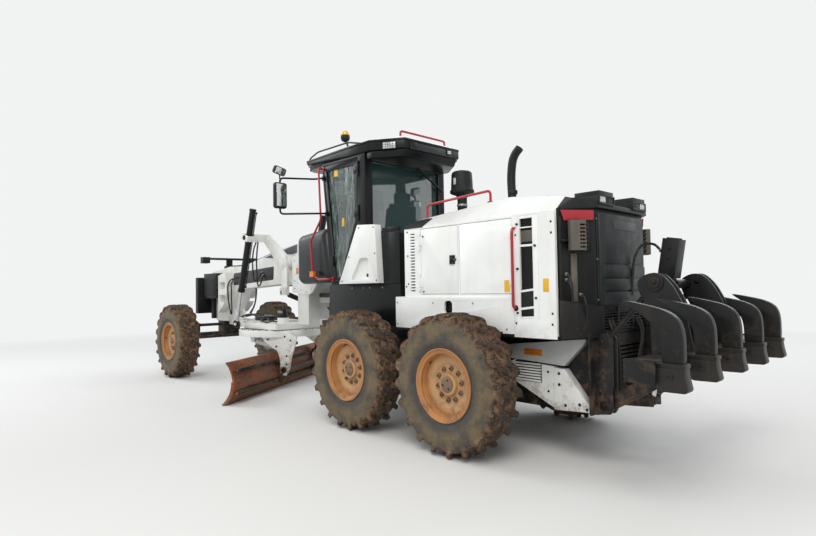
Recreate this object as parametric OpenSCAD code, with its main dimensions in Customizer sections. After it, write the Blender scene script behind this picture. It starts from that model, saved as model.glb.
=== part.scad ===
// Motor grader with a rear ripper, in millimetres.
// Places are measured from the ground under the middle of the tandem: X forward, Y to the left, Z up.
// place() then moves each piece so that the origin lies under the middle of the whole machine.

/* [Wheels] */
// Outer radius of a tyre at its lugs
tyre_r = 680; // [660:1:700]
// Width of a tyre
tyre_w = 372; // [350:1:380]
// Radius of the rim's flange
flange_r = 345; // [340:1:350]
// Height of a tread lug
lug_h = 30; // [20:1:35]
// Number of lugs in each of a tyre's two rows
lug_count = 20; // [16:2:24]
// Half of the distance between a tandem's two axles
tandem_half = 763; // [750:1:780]
// Sideways place of the middle of a rear wheel
rear_wheel_y = 1055; // [1050:1:1070]
// Front axle, measured forward from the middle of the tandem
front_axle_x = 6270; // [6230:10:6300]
// Sideways place of the middle of a front wheel
front_wheel_y = 1030; // [1025:1:1045]
// Sideways place of a kingpin
kingpin_y = 790; // [780:1:795]

/* [Rear body] */
// Half width of the bonnet at its doors
hood_half = 780; // [770:1:785]
// Rear end of the bonnet
hood_rear = -1750; // [-1760:1:-1740]
// Front end of the bonnet above the skirt
hood_front = 200; // [180:1:220]
// Height of the deck that the bonnet and the cab stand on
deck_z = 1160; // [1150:1:1165]
// Thickness of the bonnet's walls and doors
sheet_t = 25; // [15:1:30]
// Height where the bonnet's side doors begin
door_low = 1530; // [1525:1:1540]
// Height where the bonnet's side doors end
door_high = 2245; // [2200:1:2250]
// Rear face of the radiator fascia
fascia_x = -1950; // [-1960:1:-1945]

/* [Cab] */
// Half width of the cab
cab_half = 720; // [715:1:722]
// Rear face of the cab
cab_rear = 970; // [965:1:980]
// Floor of the cab
cab_floor = 1655; // [1652:1:1660]
// Underside of the cab's roof
cab_top = 3300; // [3280:1:3310]
// Thickness of the cab's walls
cab_wall = 55; // [45:1:60]
// Thickness of a window pane
pane_t = 6; // [5:1:8]

/* [Front frame] */
// Articulation pin, measured forward from the middle of the tandem
hinge_x = 2700; // [2690:1:2710]
// Radius of the articulation pin
hinge_r = 50; // [40:1:55]
// Half width of the front beam
beam_half = 160; // [150:1:170]
// Place of the drawbar's ball along the machine
ball_x = 5800; // [5780:1:5820]
// Height of the drawbar's ball
ball_z = 1025; // [1015:1:1030]

/* [Blade] */
// Middle of the turning circle along the machine
circle_x = 4080; // [4060:1:4100]
// Outer radius of the turning circle
circle_r = 780; // [760:1:790]
// Underside of the turning circle
circle_z = 850; // [840:1:860]
// Angle of the blade to the axles, with the left end to the rear
blade_angle = 31; // [25:1:35]
// Length of the blade
blade_len = 3660; // [3600:10:3700]
// Height of the blade
blade_h = 600; // [580:5:610]
// How far the blade is slid to its left
blade_shift = 62.5; // [60:0.1:80]
// Gap between the parked blade and the ground
blade_ground = 10; // [5:1:20]

/* [Ripper] */
// Half width of the ripper's beam
ripper_half = 1270; // [1260:1:1280]
// Sideways spacing of the shanks
shank_pitch = 595; // [580:5:600]
// Thickness of a shank
shank_t = 60; // [50:1:70]

/* [Hidden] */
$fn = 48;

gap = 0.3;
pin_gap = 0.1;
nose_x = front_axle_x + tyre_r;
ripper_tip_x = -2970;
middle_x = (nose_x + ripper_tip_x) / 2;

white = "#e8e8e4";
black = "#26282a";
dark_green = "#1f2725";
red = "#a8202c";
ochre = "#b07a3e";
rubber = "#3a3632";
glass = "#7fb0aa";
rust = "#6b4a3a";
steel = "#9a9c9e";

module place() translate([-middle_x, 0, 0]) children();
module both_sides() { children(); mirror([0, 1, 0]) children(); }

// A plate with its outline in X and Z, from y to y + t
module side_plate(outline, y, t) translate([0, y + t, 0]) rotate([90, 0, 0]) linear_extrude(t) polygon(outline);
// A body with its outline in Y and Z, from x to x + t
module cross_plate(outline, x, t) translate([x, 0, 0]) rotate([90, 0, 90]) linear_extrude(t) polygon(outline);
// A block from its lowest to its highest corner
module block(low, high) translate(low) cube(high - low);
// A round bar from a to b
module bar(a, b, r) {
  d = b - a;
  length = norm(d);
  translate(a) rotate([0, acos(d[2] / length), atan2(d[1], d[0])]) cylinder(h = length, r = r);
}

// A bent tube: its route's corners are rounded, then rings of points are carried along it
function unit(v) = v / norm(v);
function along(route, i) = unit(route[i + 1] - route[i]);
function mitre(route, i) = i == len(route) - 1 ? along(route, i - 1) : unit(along(route, i - 1) + along(route, i));
function bent(route, r, steps = 4) = concat([route[0]],
  [for (i = [1 : len(route) - 2], k = [0 : steps])
    let (t = k / steps, a = route[i] - r * along(route, i - 1), b = route[i] + r * along(route, i))
      (1 - t) * (1 - t) * a + 2 * t * (1 - t) * route[i] + t * t * b],
  [route[len(route) - 1]]);
function first_ring(route, r, sides) =
  let (d = along(route, 0), u = unit(cross(d, abs(d[2]) < 0.9 ? [0, 0, 1] : [1, 0, 0])), v = cross(d, u))
    [for (k = [0 : sides - 1]) route[0] + r * (cos(360 * k / sides) * u + sin(360 * k / sides) * v)];
function next_ring(route, ring, i) =
  let (d = along(route, i - 1), n = mitre(route, i)) [for (v = ring) v + d * ((route[i] - v) * n) / (d * n)];
function all_rings(route, ring, i) = i == len(route) ? []
  : let (now = i == 0 ? ring : next_ring(route, ring, i)) concat(now, all_rings(route, now, i + 1));
module tube(corners, r, bend, sides = 10) {
  route = bent(corners, bend);
  last = (len(route) - 1) * sides;
  polyhedron(points = all_rings(route, first_ring(route, r, sides), 0), faces = concat(
    [[for (k = [0 : sides - 1]) k]],
    [for (i = [0 : len(route) - 2], k = [0 : sides - 1]) let (a = i * sides, n = (k + 1) % sides)
      [a + k, a + sides + k, a + sides + n, a + n]],
    [[for (k = [sides - 1 : -1 : 0]) last + k]]));
}
// A slot with round corners, centred, in the plane
module round_slot(w, h, r) {
  square([w, h - 2 * r], center = true);
  square([w - 2 * r, h], center = true);
  for (x = [-1, 1], y = [-1, 1]) translate([x * (w / 2 - r), y * (h / 2 - r)]) circle(r = r);
}
// A cylinder along Y
module cross_pin(x, z, y, length, r) translate([x, y, z]) rotate([-90, 0, 0]) cylinder(h = length, r = r);

// Wheels
bead_r = 311;
rim_half = 170;
spindle_r = 60;
tyre_side = tyre_w / 2;

module tyre_shape() {
  wall = 28;
  carcass = tyre_r - lug_h;
  outer = [[bead_r, 146], [flange_r + 3, 156], [400, 180], [500, tyre_side], [590, 178], [carcass - 18, 160],
    [carcass, 120]];
  inner = [[bead_r, 120], [400, 150], [500, tyre_side - wall], [590, 148], [carcass - wall, 110]];
  mirrored = function (list) [for (i = [len(list) - 1 : -1 : 0]) [list[i][0], -list[i][1]]];
  difference() {
    union() {
      rotate_extrude($fn = 60) polygon(concat(outer, mirrored(outer)));
      intersection() {
        cylinder(h = 2 * tyre_side, r = tyre_r, center = true, $fn = 60);
        for (i = [0 : lug_count - 1], side = [-1, 1])
          rotate([0, 0, (i + side / 4) * 360 / lug_count])
            translate([carcass + 15, 0, side * 92]) rotate([side * 32, 0, 0]) cube([90, 58, 172], center = true);
      }
    }
    rotate_extrude($fn = 60) polygon(concat(inner, mirrored(inner)));
    cylinder(h = 4 * tyre_side, r = bead_r, center = true, $fn = 60);
  }
}

module rim_shape() {
  seat_r = bead_r - gap;
  well = [[flange_r, -rim_half], [flange_r, -159], [seat_r, -147], [seat_r, -110], [292, -60], [292, 60],
    [seat_r, 110], [seat_r, 147], [flange_r, 159], [flange_r, rim_half], [328, rim_half], [298, 152],
    [296, 112], [279, 66], [279, -66], [296, -112], [298, -152], [328, -rim_half]];
  disc = [[spindle_r + pin_gap, -20], [120, -20], [128, 35], [190, 40], [230, 62], [285, 62], [285, 76],
    [222, 78], [182, 56], [112, 56], [108, 104], [88, 118], [spindle_r + pin_gap, 118]];
  rotate_extrude($fn = 60) polygon(well);
  rotate_extrude($fn = 60) polygon(disc);
}

// A wheel's place: x, y and side, where side is 1 on the left
module wheel_place(x, y, side) translate([x, side * y, tyre_r]) rotate([-90 * side, 0, 0]) children();

module tyre_at(x, y, side) place() color(rubber) wheel_place(x, y, side) tyre_shape();
module rim_at(x, y, side) place() color(ochre) wheel_place(x, y, side) rim_shape();

// Rear frame, ripper posts and articulation lugs
post_top = [-2017, 1110];
post_low = [-2017, 560];
ripper_base = [-2200, 560];

module frame_side() side_plate([[-1930, 460], [-1050, 460], [-450, 880], [450, 880], [900, 620], [1700, 620],
  [2150, 900], [2300, 960], [2300, 1130], [-1930, 1130]], 430, 40);

module ripper_posts() {
  outline = [[-1930, 470], [-2060, 490], [-2090, 540], [-2090, 1140], [-2050, 1180], [-1965, 1180], [-1965, 1150],
    [-1930, 1150]];
  both_sides() {
    for (p = plates_y) side_plate(outline, p[0], p[1]);
    for (p = [post_top, post_low]) cross_pin(p[0], p[1], plates_y[0][0], 110, ripper_pin_r);
    side_plate([[-1930, 490], [-2245, 515], [-2245, 605], [-1930, 700]], 60, 30);
  }
  cross_pin(ripper_base[0], ripper_base[1], -90, 180, upper_pin_r);
}

module hinge_lug(z, t) {
  difference() {
    union() {
      translate([hinge_x, 0, z]) cylinder(h = t, r = 120);
      block([2150, -240, z], [hinge_x, 240, z + t]);
    }
  }
}

module rear_frame() place() color(black) {
  both_sides() frame_side();
  both_sides() block([1980, 200, 990], [2380, 240, 1600]);
  block([hood_rear, -800, 1130], [340, 800, deck_z]);
  block([500, -430, 620], [1650, 430, 650]);
  block([-1948, -620, 480], [-1928, 620, 1150]);
  block([-1935, -470, 1130], [hood_rear + 1, 470, deck_z]);
  block([2250, -470, 900], [2300, 470, 1130]);
  block([340, -470, 1130], [2300, 470, deck_z]);
  hinge_lug(1000, 60);
  hinge_lug(1480, 60);
  translate([hinge_x, 0, 985]) cylinder(h = 570, r = hinge_r);
  ripper_posts();
}

// Tandem cases with the driving axle between them
module tandem_axle() place() color(dark_green) {
  both_sides() {
    translate([0, 840, tyre_r]) rotate([90, 0, 0]) linear_extrude(200) union() {
      square([2 * tandem_half, 300], center = true);
      for (x = [-tandem_half, tandem_half]) translate([x, 0]) circle(r = 220);
      circle(r = 270);
    }
    for (x = [-tandem_half, tandem_half]) {
      cross_pin(x, tyre_r, 839, 151, 165);
      cross_pin(x, tyre_r, 980, 170, spindle_r);
    }
    block([-200, 400, tyre_r], [200, 500, 880]);
  }
  cross_pin(0, tyre_r, -650, 1300, 135);
  cross_pin(0, tyre_r, -180, 360, 250);
}

module engine() place() color(steel) block([-1400, -330, deck_z], [-300, 330, 1950]);

// Bonnet: an outline from the side crossed with an outline from the rear
module hood_solid(inset) intersection() {
  side_plate([[hood_rear - 2 * inset, deck_z - 2 * inset], [340 - inset, deck_z - 2 * inset],
    [340 - inset, 1505 - inset], [hood_front - inset, 1505 - inset], [hood_front - inset, 2360 - inset],
    [-50, 2390 - inset], [-1060, 2500 - inset], [-1540, 2440 - inset], [hood_rear - 2 * inset, 2400 - inset]],
    -900, 1800);
  cross_plate([[-800 + inset, 1000], [800 - inset, 1000], [800 - inset, 1500], [hood_half - inset, 1508],
    [hood_half - inset, 2270 - inset / 2], [500, 2500 - inset / 2], [-500, 2500 - inset / 2],
    [-hood_half + inset, 2270 - inset / 2], [-hood_half + inset, 1508], [-800 + inset, 1500]], -3000, 5000);
}

// Side doors of the bonnet: low x, high x
front_leaf = [-600, -60];
rear_leaf = [-1270, -620];
leaf_gap = 5;
door_hinge_z = [1660, 2110];
// A door's hinge axis stands off its wall, and back from its leaf's edge
hinge_off = 12;
hinge_back = 20;
hinge_pin_r = 6;
hinge_barrel_r = 11;
door_hinge_y = hood_half + hinge_off;

// A hinge's fixed half: a pin between two ears; its axis is vertical
module hinge_pin() {
  cylinder(h = 200, r = hinge_pin_r, center = true);
  for (s = [-1, 1]) translate([0, 0, s * 78]) {
    cylinder(h = 44, r = hinge_barrel_r, center = true);
    translate([-hinge_barrel_r, -hinge_off - 1, -22]) cube([2 * hinge_barrel_r, hinge_off + 1, 44]);
  }
}

// Its moving half: a barrel round the pin, with a strap that steps down to the leaf; dir is the leaf's side
module hinge_strap(dir) difference() {
  union() {
    cylinder(h = 110, r = hinge_barrel_r, center = true);
    translate([dir * 23, -6.5, 0]) cube([46, 5, 100], center = true);
    translate([dir * (hinge_back + 14), -hinge_off / 2 - 2.5, 0]) cube([24, hinge_off - 3, 100], center = true);
  }
  cylinder(h = 120, r = hinge_pin_r + pin_gap, center = true);
}

module leaf_hinges(x) for (z = door_hinge_z) translate([x, door_hinge_y, z]) children();

module hood() place() color(white) {
  difference() {
    hood_solid(0);
    hood_solid(sheet_t);
    both_sides() for (leaf = [front_leaf, rear_leaf])
      block([leaf[0], 700, door_low], [leaf[1], 900, door_high]);
    for (side = [-1, 1], i = [0 : 3]) translate([-1490, side * 760, 1560 + i * 180])
      cube([150, 120, 140], center = true);
    for (side = [-1, 1], i = [0 : 19]) translate([70, side * 780, 1570 + i * 33])
      cube([70, 120, 14], center = true);
    for (side = [-1, 1]) translate([-470, side * 800, 1395]) rotate([90, 0, 0])
      linear_extrude(120, center = true) round_slot(110, 136, 40);
    translate([stack_at[0], stack_at[1], 2300]) cylinder(h = 300, r = stack_r + gap);
    translate([cleaner_at[0], cleaner_at[1], 2200]) cylinder(h = 300, r = cleaner_stem_r + gap);
  }
  both_sides() {
    leaf_hinges(front_leaf[1] - leaf_gap + hinge_back) hinge_pin();
    leaf_hinges(rear_leaf[0] + leaf_gap - hinge_back) hinge_pin();
  }
}

module hood_door(leaf, dir) place() color(white) {
  block([leaf[0] + leaf_gap, hood_half - sheet_t, door_low + leaf_gap],
    [leaf[1] - leaf_gap, hood_half, door_high - leaf_gap]);
  leaf_hinges(dir > 0 ? leaf[0] + leaf_gap - hinge_back : leaf[1] - leaf_gap + hinge_back) hinge_strap(dir);
}

// Radiator fascia, its cover, lamps and guards
module fascia_plan(inset) polygon([[hood_rear - gap, hood_half - inset], [fascia_x + inset, 470 - inset / 2],
  [fascia_x + inset, -470 + inset / 2], [hood_rear - gap, -hood_half + inset]]);

module rear_grille() place() color(black) {
  difference() {
    translate([0, 0, deck_z]) linear_extrude(1120) fascia_plan(0);
    translate([0, 0, deck_z - 1]) linear_extrude(1100) difference() {
      fascia_plan(40);
      translate([hood_rear - 30, -900]) square([100, 1800]);
    }
    translate([0, 0, 1185]) block([fascia_x - 20, -420, 0], [fascia_x + 60, 420, 150]);
  }
  intersection() {
    side_plate([[hood_rear - gap, 2270], [hood_rear - gap, 2398], [-1985, 2330], [-1995, 2285]], -760, 1520);
    cross_plate([[-hood_half, 2000], [hood_half, 2000], [hood_half, 2270], [500, 2500], [-500, 2500],
      [-hood_half, 2270]], -2100, 500);
    translate([0, 0, 2000]) linear_extrude(600) polygon([[hood_rear - gap, hood_half], [-1995, 480],
      [-1995, -480], [hood_rear - gap, -hood_half]]);
  }
  for (i = [0 : 6]) block([fascia_x, -425, 1192 + i * 21], [fascia_x + 30, 425, 1202 + i * 21]);
  block([fascia_x - 18, -450, 1360], [fascia_x + 1, 450, 2240]);
  for (i = [0 : 3]) block([fascia_x - 30, -440, 1400 + i * 100], [fascia_x - 17, 440, 1470 + i * 100]);
  both_sides() {
    difference() {
      block([-1925, 510, 1900], [-1840, 680, 2160]);
      for (i = [0 : 5]) block([-1930, 560, 1920 + i * 40], [-1900, 660, 1940 + i * 40]);
    }
    block([-1870, 520, 1990], [-1780, 660, 2070]);
    block([-1990, 200, 2340], [hood_rear - gap, 460, 2440]);
  }
}

// Exhaust and air pre-cleaner, each through a hole in the bonnet's roof
stack_at = [-735, 0];
stack_r = 47;
cleaner_at = [135, -150];
cleaner_stem_r = 60;
cleaner_r = 140;
module exhaust_stacks() place() color(black) {
  translate([stack_at[0], stack_at[1], 2380]) cylinder(h = 640, r = stack_r);
  translate([stack_at[0] - 140, stack_at[1], 3020]) rotate([90, 0, 0])
    rotate_extrude(angle = 60) translate([140, 0]) circle(r = stack_r);
  translate([cleaner_at[0], cleaner_at[1], 0]) {
    translate([0, 0, 2300]) cylinder(h = 440, r = cleaner_stem_r);
    translate([0, 0, 2720]) cylinder(h = 50, r1 = cleaner_stem_r, r2 = cleaner_r - 12);
    translate([0, 0, 2770]) cylinder(h = 230, r = cleaner_r);
    translate([0, 0, 3000]) cylinder(h = 45, r1 = cleaner_r, r2 = 60);
  }
}

// Deck under and behind the cab, with the ladders
module cab_base() place() color(black) {
  block([345, -cab_half, deck_z], [1750, cab_half, cab_floor]);
  block([345, -700, 1650], [940, 700, 2240]);
  both_sides() {
    for (x = [1500, 1730]) block([x, 500, 560], [x + 20, 700, 1250]);
    for (z = [560, 850]) block([1500, 500, z], [1750, 700, z + 25]);
  }
}

// Panels on the frame's side below the bonnet: a slanted plate, a louvred cover and a lower guard
panel_y = 470 + gap;
module frame_panels() {
  side_plate([[-985, 1030], [-1045, 895], [-1630, 865], [-1890, 1128], [-985, 1128]], panel_y, 75);
  difference() {
    side_plate([[-1090, 885], [-1052, 865], [-1052, 700], [-1540, 462], [-1540, 855]], panel_y, 60);
    for (i = [0 : 5]) block([-1400, panel_y + 30, 680 + i * 32], [-1110, panel_y + 61, 694 + i * 32]);
  }
  side_plate([[-1545, 848], [-1655, 842], [-1925, 492], [-1545, 464]], panel_y, 80);
}
module side_steps() place() color(white) both_sides() {
  difference() {
    side_plate([[650, 1660], [1425, 1660], [1040, 2385], [710, 2370]], cab_half, 95);
    block([760, cab_half + 40, 1760], [1000, 900, 1900]);
    block([780, cab_half + 40, 2050], [980, 900, 2170]);
  }
  frame_panels();
}

// Cab: walls between two tapered shells, with the windows cut out
cab_low = [[cab_rear, 720], [1700, 720], [2120, 330]];
cab_high = [[cab_rear, 720], [1900, 720], [2330, 330]];
function both_edges(p, i) = concat([for (q = p) [q[0] + (q[0] > 1000 ? -i : i), q[1] - i]],
  [for (k = [len(p) - 1 : -1 : 0]) [p[k][0] + (p[k][0] > 1000 ? -i : i), -p[k][1] + i]]);
module cab_prism(inset, low, high) hull() {
  translate([0, 0, low]) linear_extrude(1) polygon(both_edges(cab_low, inset));
  translate([0, 0, high - 1]) linear_extrude(1) polygon(both_edges(cab_high, inset));
}
cab_hinge = [1096, cab_half + hinge_off];
module cab_hinges() for (z = [2560, 3120]) translate([cab_hinge[0], cab_hinge[1], z]) children();
door_outline = [[1450, 1690], [1640, 1690], [1855, 3270], [1110, 3270], [1110, 2440]];
module cab_cuts() {
  block([900, -600, 2330], [1100, 600, 3200]);
  block([1900, -250, 1900], [2500, 250, 3220]);
  both_sides() intersection() {
    translate([1735, 560, 0]) rotate([0, 0, -42.5]) block([70, -300, 1800], [540, 400, 3200]);
    block([1700, 300, 1800], [2600, 900, 3200]);
  }
}
module cab_frame() place() color(black) {
  difference() {
    cab_prism(0, cab_floor, cab_top);
    cab_prism(cab_wall, cab_floor + 30, cab_top - 20);
    block([1100, -500, cab_top - 30], [1900, 500, cab_top + 10]);
    cab_cuts();
    both_sides() side_plate(door_outline, 600, 200);
  }
  both_sides() cab_hinges() hinge_pin();
}
module cab_glass() place() color(glass) intersection() {
  difference() {
    cab_prism(20, cab_floor + 10, cab_top - 5);
    cab_prism(20 + pane_t, cab_floor + 10, cab_top - 5);
  }
  cab_cuts();
}

module cab_roof() place() {
  color(black) translate([0, 0, cab_top]) linear_extrude(130) polygon([[480, 490], [860, 735], [2220, 750],
    [2400, 600], [2470, 0], [2400, -600], [2220, -750], [860, -735], [480, -490]]);
  color(white) translate([0, 0, cab_top + 130]) linear_extrude(50) polygon([[620, 430], [900, 640], [2120, 660],
    [2280, 500], [2280, -500], [2120, -660], [900, -640], [620, -430]]);
  color(black) difference() {
    block([500, -480, cab_top - 90], [cab_rear - 35, 480, cab_top + 1]);
    block([499, -380, cab_top - 70], [520, 120, cab_top - 20]);
    block([499, 250, cab_top - 70], [520, 400, cab_top - 20]);
  }
  for (y = [-520, 520]) color(black) block([2280, y - 70, cab_top + 20], [2395, y + 70, cab_top + 129]);
  color("#e0a020") translate([1450, 560, cab_top + 180]) cylinder(h = 110, r = 25);
  color("#e0a020") translate([1450, 560, cab_top + 290]) cylinder(h = 120, r = 65);
}

module cab_nose() place() color(black) both_sides() difference() {
  hull() {
    for (p = [[1850, 600, 1800], [2480, 610, 1790], [2480, 610, 2280], [1950, 600, 2330]])
      translate(p) sphere(r = 110, $fn = 20);
    translate([2350, 470, 1800]) cylinder(h = 450, r = 50, $fn = 20);
  }
  cab_prism(-gap, cab_floor, cab_top);
}

// Inside of the cab
module seat() place() color("#3c3e40") {
  translate([1230, 0, cab_floor + 30]) cylinder(h = 320, r = 130);
  block([1050, -260, 2005], [1550, 260, 2125]);
  side_plate([[1050, 2125], [1170, 2125], [1080, 2760], [1035, 2760]], -240, 480);
  both_sides() block([1090, 265, 2170], [1500, 355, 2300]);
  both_sides() block([1090, 200, 2060], [1200, 300, 2200]);
}
module control_console() place() color("#303234") {
  side_plate([[1780, cab_floor + 30], [1960, cab_floor + 30], [1900, 2300], [1800, 2350]], -90, 180);
  translate([1800, 0, 2400]) rotate([0, -35, 0]) difference() {
    cylinder(h = 26, r = 200, center = true);
    cylinder(h = 30, r = 174, center = true);
  }
  translate([1800, 0, 2400]) rotate([0, -35, 0]) cube([60, 360, 18], center = true);
  translate([1800, 0, 2400]) rotate([0, -35, 0]) translate([0, 0, -90]) cylinder(h = 100, r = 30);
}

// Doors of the cab
module cab_door() {
  difference() {
    side_plate([[1456, 1696], [1635, 1696], [1848, 3264], [1116, 3264], [1116, 2436]], cab_half - 40, 40);
    side_plate([[1500, 1760], [1600, 1760], [1780, 3190], [1180, 3190], [1180, 2460]], cab_half - 60, 100);
  }
  cab_hinges() hinge_strap(1);
}
module door_pane() side_plate([[1500, 1760], [1600, 1760], [1780, 3190], [1180, 3190], [1180, 2460]],
  cab_half - 24, pane_t);

// Red handrails
rail_r = 14;
rail_x = -1325;
module handrails() place() color(red) {
  both_sides() tube([[rail_x, 800 + gap, 1400], [rail_x, 850, 1400], [rail_x, 850, 2140],
    [rail_x, hood_half + gap, 2140]], rail_r, 45);
  tube([[120, 480, 2374], [120, 480, 2560], [-800, 480, 2600], [-800, 480, 2474]], rail_r, 45);
  tube([[650, 400, cab_top + 180 + gap], [650, 400, 3560], [650, -400, 3560], [650, -400, cab_top + 180 + gap]],
    rail_r, 35);
  both_sides() tube([[1872, cab_half + gap, 3240], [1872, 795, 3240], [1830, 795, 2540], [2085, 795, 2260],
    [2040, 795, 1815], [1900, 795, 1735], [1675, 795, 1735], [1675, cab_half + gap, 1735]], rail_r, 35);
}

module mirrors() place() color(black) both_sides() {
  tube([[1862, cab_half + gap, 3110], [1862, 757, 3110], [1945, 800, 3105], [2100, 1250, 3080], [2100, 1250, 2600],
    [1792, 790, 2620], [1792, cab_half + gap, 2620]], 13, 35);
  block([2060, 1160, 2680], [2150, 1340, 3030]);
}

// Front frame
axle_z = tyre_r;
tow_r = 30;
ball_r = 65;
ball_pin_r = 25;
module front_frame() place() color(white) difference() {
  union() {
    side_plate([[2900, 1690], [3020, 1690], [3600, 1720], [4600, 1670], [5560, 1630], [5820, 1250], [5990, 1010],
      [6480, 1010], [6640, 1250], [6800, 1500], [6800, 1880], [6690, 1985], [5870, 2070], [5300, 2060],
      [4500, 2200], [3400, 2370], [3050, 2370], [2900, 2200]], -beam_half, 2 * beam_half);
    block([2860, -330, 1064], [3160, 330, 1690]);
    both_sides() translate([2900, 310, 1850]) rotate([-90, 0, 0]) cylinder(h = 40, r = 330);
    both_sides() side_plate([[2900, 1520], [3290, 1560], [3290, 2120], [2900, 2180]], 310, 40);
    block([2870, -310, 1600], [3200, 310, 2150]);
    for (z = [1064, 1396]) {
      translate([hinge_x, 0, z]) cylinder(h = 80, r = 120);
      block([hinge_x, -120, z], [2900, 120, z + 80]);
    }
    both_sides() side_plate([[ball_x - 50, 945], [ball_x - 50, 1100], [ball_x + 40, 1280], [ball_x + 230, 1030],
      [ball_x + 230, 945]], ball_r + 5, 40);
    cross_pin(ball_x, ball_z, -ball_r - 45, 2 * ball_r + 90, ball_pin_r);
    block([nose_x - 160, -420, 1150], [nose_x - 40, 420, 1880]);
    block([6560, -110, 1060], [nose_x - 130, 110, 1100]);
    translate([nose_x - 130, 0, 1060]) cylinder(h = 40, r = 80);
    block([6600, -beam_half, 1060], [6660, beam_half, 1300]);
    both_sides() block([6120, beam_half - 1, 1460], [6700, 330, 1950]);
    both_sides() difference() {
      side_plate([[5860, 1330], [6090, 1180], [6100, 1900], [5800, 1960], [5700, 1600]], beam_half - 1, 150);
      for (z = [1390, 1640]) block([5790, beam_half + 40, z], [6050, beam_half + 160, z + 130]);
    }
    bar([6250, -520, 2240], [6250, 520, 2240], 22);
    block([6230, -60, 1980], [6270, 60, 2250]);
    both_sides() block([6200, 420, 2150], [6330, 560, 2270]);
  }
  for (z = [1064, 1396]) translate([hinge_x, 0, z - 1]) cylinder(h = 90, r = hinge_r + pin_gap);
  for (y = [-300, 300], z = [1300, 1700]) translate([nose_x - 100, y, z]) rotate([0, 90, 0]) cylinder(h = 61, r = 13);
  translate([nose_x - 130, 0, 1050]) cylinder(h = 60, r = tow_r);
}

// Saddle over the beam, which carries the lift cylinders' yokes and the shift cylinder
saddle_hub = [3510, 2050];
saddle_y = 340;
saddle_t = 60;
lift_y = 700;
lift_top = [4050, 2470];
lift_pin = [4510, 1035];
trunnion_r = 22;
lift_barrel_r = 52;
lift_rod_r = 30;
lift_length = norm(lift_pin - lift_top);
lift_lean = atan2(lift_pin[0] - lift_top[0], lift_top[1] - lift_pin[1]);
shift_x = 3440;
shift_top = [430, 1565];
shift_low = [-373, 1250];
shift_eye_r = 40;
shift_eye_t = 40;
shift_pin_r = 18;

module lift_frame(side = 1) translate([lift_top[0], side * lift_y, lift_top[1]]) rotate([0, -lift_lean, 0]) children();
module lift_saddle() place() color(white) {
  both_sides() {
    cross_pin(saddle_hub[0], saddle_hub[1], beam_half, saddle_y - beam_half + 1, 130);
    side_plate([[3400, 2000], [3560, 1930], [4130, 2440], [4010, 2530], [3430, 2160]], saddle_y, saddle_t);
    side_plate([[3990, 2400], [4120, 2420], [4120, 2530], [3990, 2530]], saddle_y, lift_y - saddle_y - 82);
    lift_frame() difference() {
      cube([230, 170, 90], center = true);
      cube([170, 130, 100], center = true);
      rotate([90, 0, 0]) cylinder(h = 200, r = trunnion_r + pin_gap, center = true);
    }
  }
  side_plate([[3400, 2060], [3600, 2060], [3560, 1640], [3390, 1640]], saddle_y, 50);
  for (s = [-1, 1]) block([shift_x + s * 31 - 8, saddle_y + 5, shift_top[1] - 45],
    [shift_x + s * 31 + 8, shift_top[0] + 40, 1641]);
  translate([shift_x - 39, shift_top[0], shift_top[1]]) rotate([0, 90, 0]) cylinder(h = 78, r = shift_pin_r);
}

// Front axle with a fork at each end, and its kingpins
fork = [560, 605, 755, 800];
kingpin_r = 28;
steer_arm = 225;
steer_pin_r = 15;
module front_axle() place() color(black) {
  block([front_axle_x - 100, -640, 690], [front_axle_x + 100, 640, 800]);
  block([front_axle_x - 60, -700, 690], [front_axle_x + 60, 700, 800]);
  block([front_axle_x - 130, -170, 690], [front_axle_x + 130, 170, 1010]);
  both_sides() {
    for (z = [fork[0], fork[2]]) block([front_axle_x - 90, 690, z], [front_axle_x + 90, kingpin_y + 40, z + 45]);
    block([front_axle_x - 35, 690, fork[0]], [front_axle_x + 35, 722, fork[3]]);
    translate([front_axle_x, kingpin_y, fork[0] + 10]) cylinder(h = 230, r = kingpin_r);
    block([front_axle_x - 40, 610, fork[3] - 1], [front_axle_x + 40, 640, 985]);
    cross_pin(front_axle_x, 945, 0, 660, 28);
  }
}

module knuckle_shape() {
  difference() {
    union() {
      translate([front_axle_x, kingpin_y, fork[1] + 3]) cylinder(h = fork[2] - fork[1] - 6, r = 55);
      cross_pin(front_axle_x, axle_z, kingpin_y, 100, 50);
      cross_pin(front_axle_x, axle_z, kingpin_y + 90, 245, spindle_r);
      block([front_axle_x - steer_arm - 35, kingpin_y - 25, 640], [front_axle_x, kingpin_y + 25, 700]);
    }
    translate([front_axle_x, kingpin_y, 500]) cylinder(h = 400, r = kingpin_r + pin_gap);
    translate([front_axle_x - steer_arm, kingpin_y, 600]) cylinder(h = 160, r = steer_pin_r + pin_gap);
  }
}

module tie_rod() place() color(black) {
  bar([front_axle_x - steer_arm, -kingpin_y, 735], [front_axle_x - steer_arm, kingpin_y, 735], 24);
  both_sides() translate([front_axle_x - steer_arm, kingpin_y, 642]) cylinder(h = 112, r = steer_pin_r);
}

// Drawbar: an A frame with the shoes that hold the turning circle
drawbar_low = 970;
drawbar_t = 90;
ring_t = 100;
ring_in = circle_r - 140;
ring_top = circle_z + ring_t;
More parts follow.
